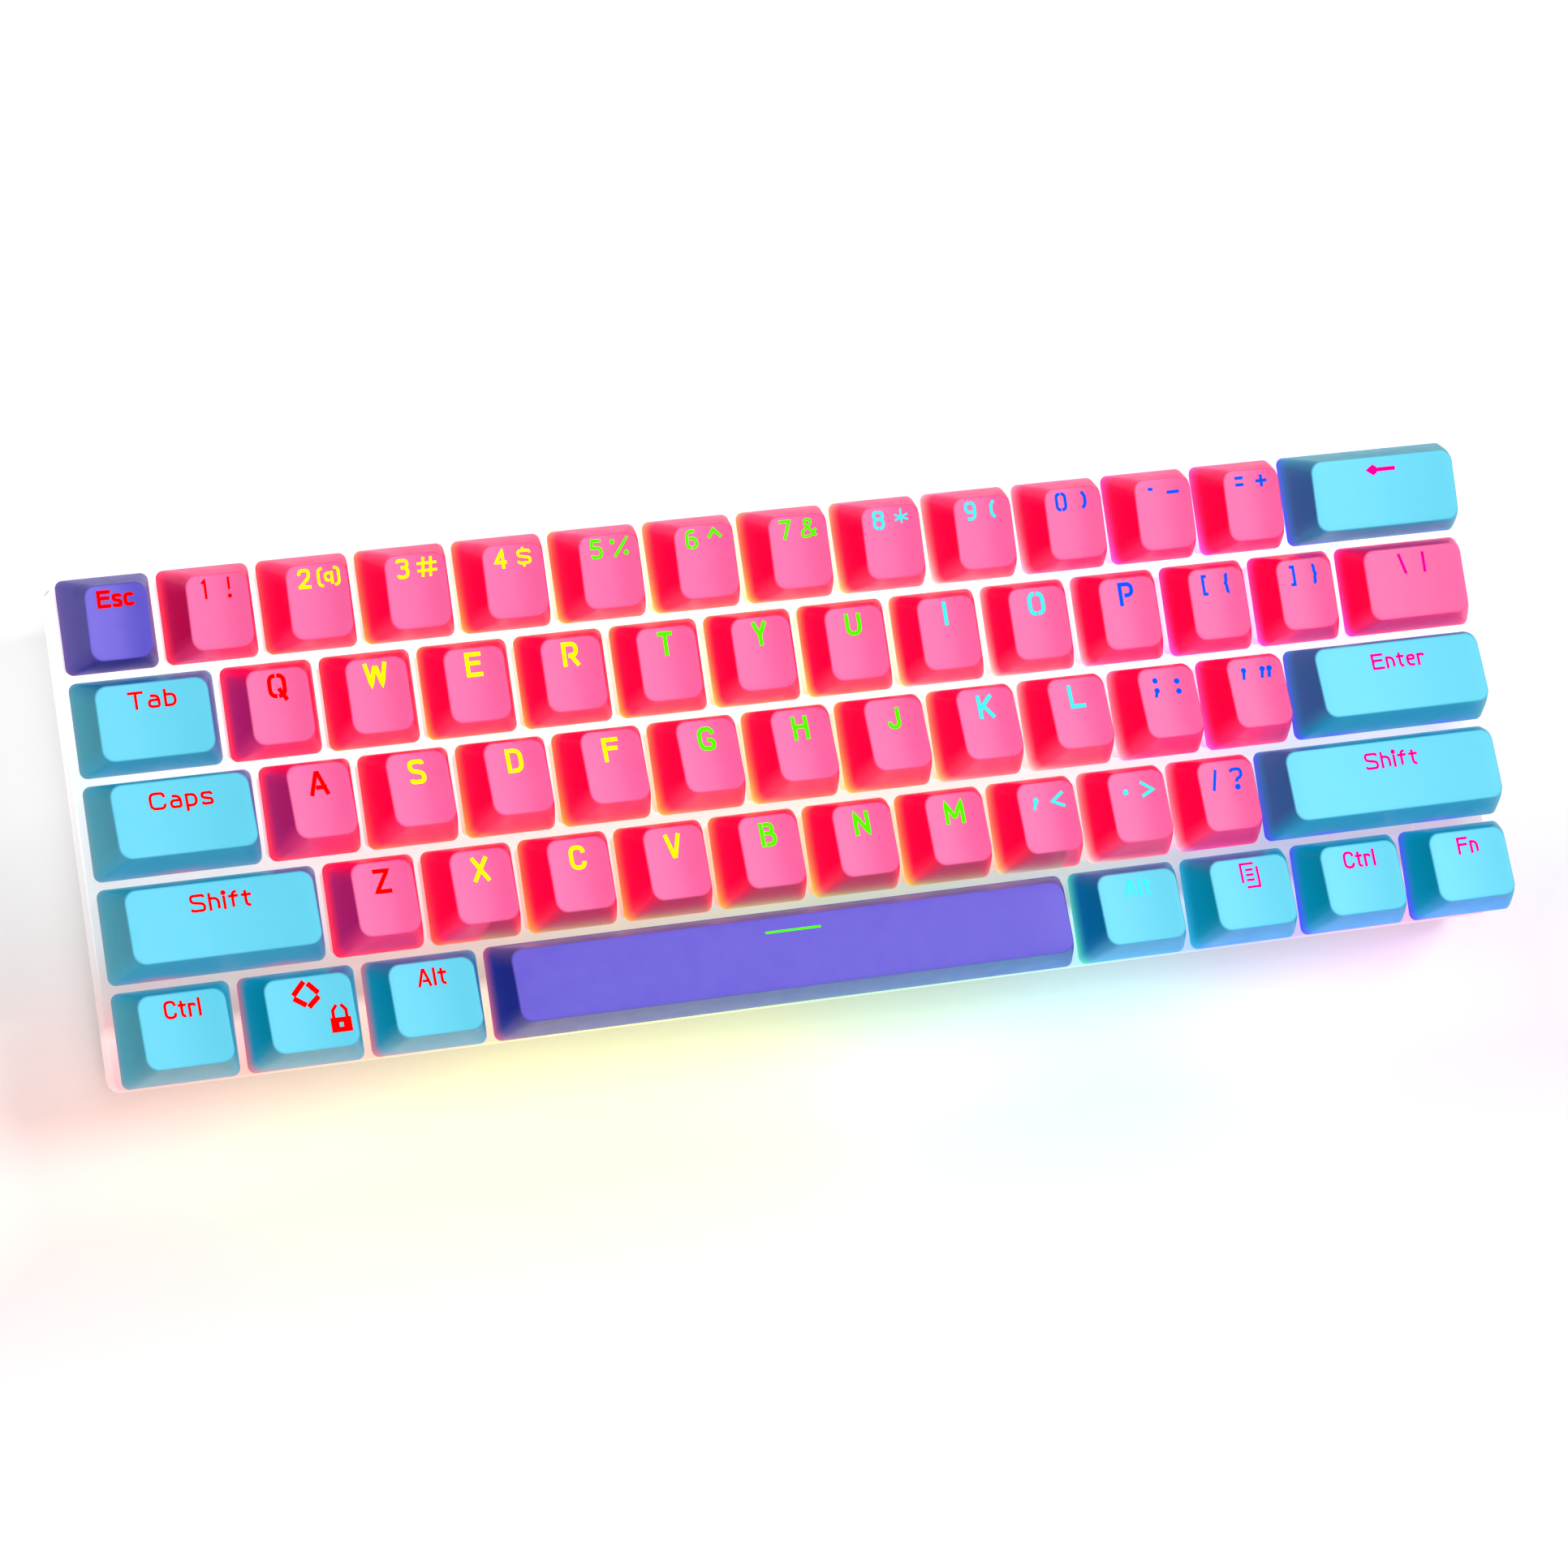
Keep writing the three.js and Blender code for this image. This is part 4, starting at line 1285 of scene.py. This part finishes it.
SCREWS = {"x": (-128, -43, 48, 128), "y": (-1.5 * UNIT, 1.5 * UNIT)}
SCREW_HEAD = [(0.3, 0.02), (1.45, 0.02), (1.6, 0.15), (1.6, 0.3), (1.35, 0.5), (0.5, 0.55)]


def make_screws():
    """Countersunk screws that hold the plate to the base's posts, coated like the plate."""
    head = skin([round_ring(radius, z, 20) for radius, z in SCREW_HEAD])
    screw = joined([head, rounded_block(0.95, 0.16, 0.5, 0.62, 0.05, 0.03)])
    screws = joined([moved(screw, x, y) for x in SCREWS["x"] for y in SCREWS["y"]])
    add_piece("plate_screws", screws, "base", PLATE_MATERIAL)


PORT = {"x": -100, "z": -8.53, "half_x": 4.47, "half_z": 1.63, "mouth_y": 45.6, "depth": 7.4}


def make_port():
    """The charging and data socket: an oblong shell, a tongue and its contacts."""
    def ring(inset, y):
        half_x, half_z = PORT["half_x"] - inset, PORT["half_z"] - inset
        outline = oblong(half_x, half_z, half_z - 0.02, y, 8)
        return [(PORT["x"] + x, y, PORT["z"] - z) for x, z, _ in outline]

    mouth, back = PORT["mouth_y"], PORT["mouth_y"] - PORT["depth"]
    shell = skin([
        ring(0.1, back), ring(0, back + 0.1), ring(0, mouth - 0.12), ring(0.08, mouth),
        ring(0.2, mouth), ring(0.3, mouth - 0.15), ring(0.3, back + 0.5),
    ])
    add_piece("port_shell", shell, "base", PORT_MATERIAL, replaces="usb_port")
    inwards = (DECK @ Matrix.Translation((PORT["x"], mouth - 1.0, PORT["z"]))
               @ Matrix.Rotation(math.radians(90), 4, "X"))
    tongue = rounded_block(3.1, 0.35, 0, 5.6, 0.15, 0.1)
    add_piece("port_tongue", tongue, "base", FOOT_MATERIAL, place=inwards)
    pin = rounded_block(0.13, 0.03, 0.3, 3.6, 0.02, 0.01)
    pins = joined([moved(pin, -2.5 + i * 0.5, side * 0.37) for i in range(11) for side in (-1, 1)])
    add_piece("port_contacts", pins, "base", SPRING_MATERIAL, place=inwards)


make_screws()
make_port()


# ---- stage and light
FLOOR_HALF = 10.0
FLOOR_LIFT = (0.15, 0.45)  # how much the floor glows in front of the keyboard, less for painted shade, and elsewhere
# Where the stretch of floor with painted shade ends, in metres: from its inner to its outer limit.
FLOOR_SHADE = {"beside": (0.155, 0.205), "behind": (-0.050, 0.010), "before": (-0.072, -0.115)}


def floor_material():
    """A matt white sweep, lifted to white by its own glow, except in front of the keyboard, where it
    glows
    less: painted shade over the soft shadow that falls there.
    """
    m = plastic_material("floor", (0.63, 0.63, 0.635), (0.55, 0.65), mottle=0.002)
    place = m.axes(m.place())
    outside = m.span(m.math("ABSOLUTE", place["X"]), *FLOOR_SHADE["beside"])
    for side in ("behind", "before"):
        outside = m.math("MAXIMUM", outside, m.span(place["Y"], *FLOOR_SHADE[side]))
    m.set(Emission_Color=(1, 1, 1), Emission_Strength=m.span(outside, 0, 1, *FLOOR_LIFT),
          Specular_IOR_Level=0.1)
    return m.material


def make_floor():
    mesh = bpy.data.meshes.new("floor")
    h = FLOOR_HALF
    mesh.from_pydata([(-h, -h, 0), (h, -h, 0), (h, h, 0), (-h, h, 0)], [], [[0, 1, 2, 3]])
    mesh.materials.append(floor_material())
    linked("floor", mesh)


def area_light(name, at, towards, size, power, colour=(1, 1, 1)):
    data = bpy.data.lights.new(name, "AREA")
    data.shape = "RECTANGLE"
    data.size, data.size_y = size
    data.energy = power
    data.color = colour
    light = linked(name, data)
    light.location = at
    aim = Vector(towards) - Vector(at)
    light.rotation_euler = aim.to_track_quat("-Z", "Y").to_euler()
    light.visible_camera = False


# The light that spills from under the front edge, left to right: x, colour and power.
UNDERGLOW = [
    (-0.160, (1.0, 0.30, 0.20), 1.0),
    (-0.135, (1.0, 0.30, 0.12), 1.3),
    (-0.100, (1.0, 0.55, 0.08), 1.2),
    (-0.060, (1.0, 0.92, 0.02), 1.45),
    (-0.020, (0.98, 1.0, 0.06), 1.2),
    (0.020, (0.40, 1.0, 0.55), 1.0),
    (0.060, (0.10, 0.90, 1.0), 1.2),
    (0.100, (0.60, 0.50, 1.0), 1.0),
    (0.135, (1.0, 0.25, 1.0), 1.1),
]
UNDERGLOW_POWER = 0.0034  # in watts, at a share of 1
FRONT_STRIP = {"y": -0.060, "z": 0.018, "size": (0.038, 0.008)}
LEFT_STRIP = {"at": (-0.156, -0.036, 0.020), "size": (0.008, 0.036), "share": 0.4,
              "colour": (1.0, 0.22, 0.10)}
SHINE_OUT = 0.004  # how far the strips lean outwards


def make_light():
    world = bpy.data.worlds.new("world")
    bpy.context.scene.world = world
    world.use_nodes = True
    background = world.node_tree.nodes["Background"]
    background.inputs["Color"].default_value = (1, 1, 1, 1)
    background.inputs["Strength"].default_value = 0.5
    area_light("key_light", (1.6, 0.5, 1.9), (0, 0, 0), (0.9, 0.9), 36)
    area_light("top_light", (-0.3, -0.2, 2.6), (0, 0, 0), (1.6, 1.6), 16)
    for number, (x, colour, share) in enumerate(UNDERGLOW):
        y, z = FRONT_STRIP["y"], FRONT_STRIP["z"]
        area_light(f"underglow_{number + 1}", (x, y, z), (x, y - SHINE_OUT, 0),
                   FRONT_STRIP["size"], share * UNDERGLOW_POWER, colour)
    x, y, z = LEFT_STRIP["at"]
    area_light("underglow_left", (x, y, z), (x - SHINE_OUT, y, 0),
               LEFT_STRIP["size"], LEFT_STRIP["share"] * UNDERGLOW_POWER, LEFT_STRIP["colour"])


make_floor()
make_light()
bpy.context.scene.view_settings.view_transform = "Standard"
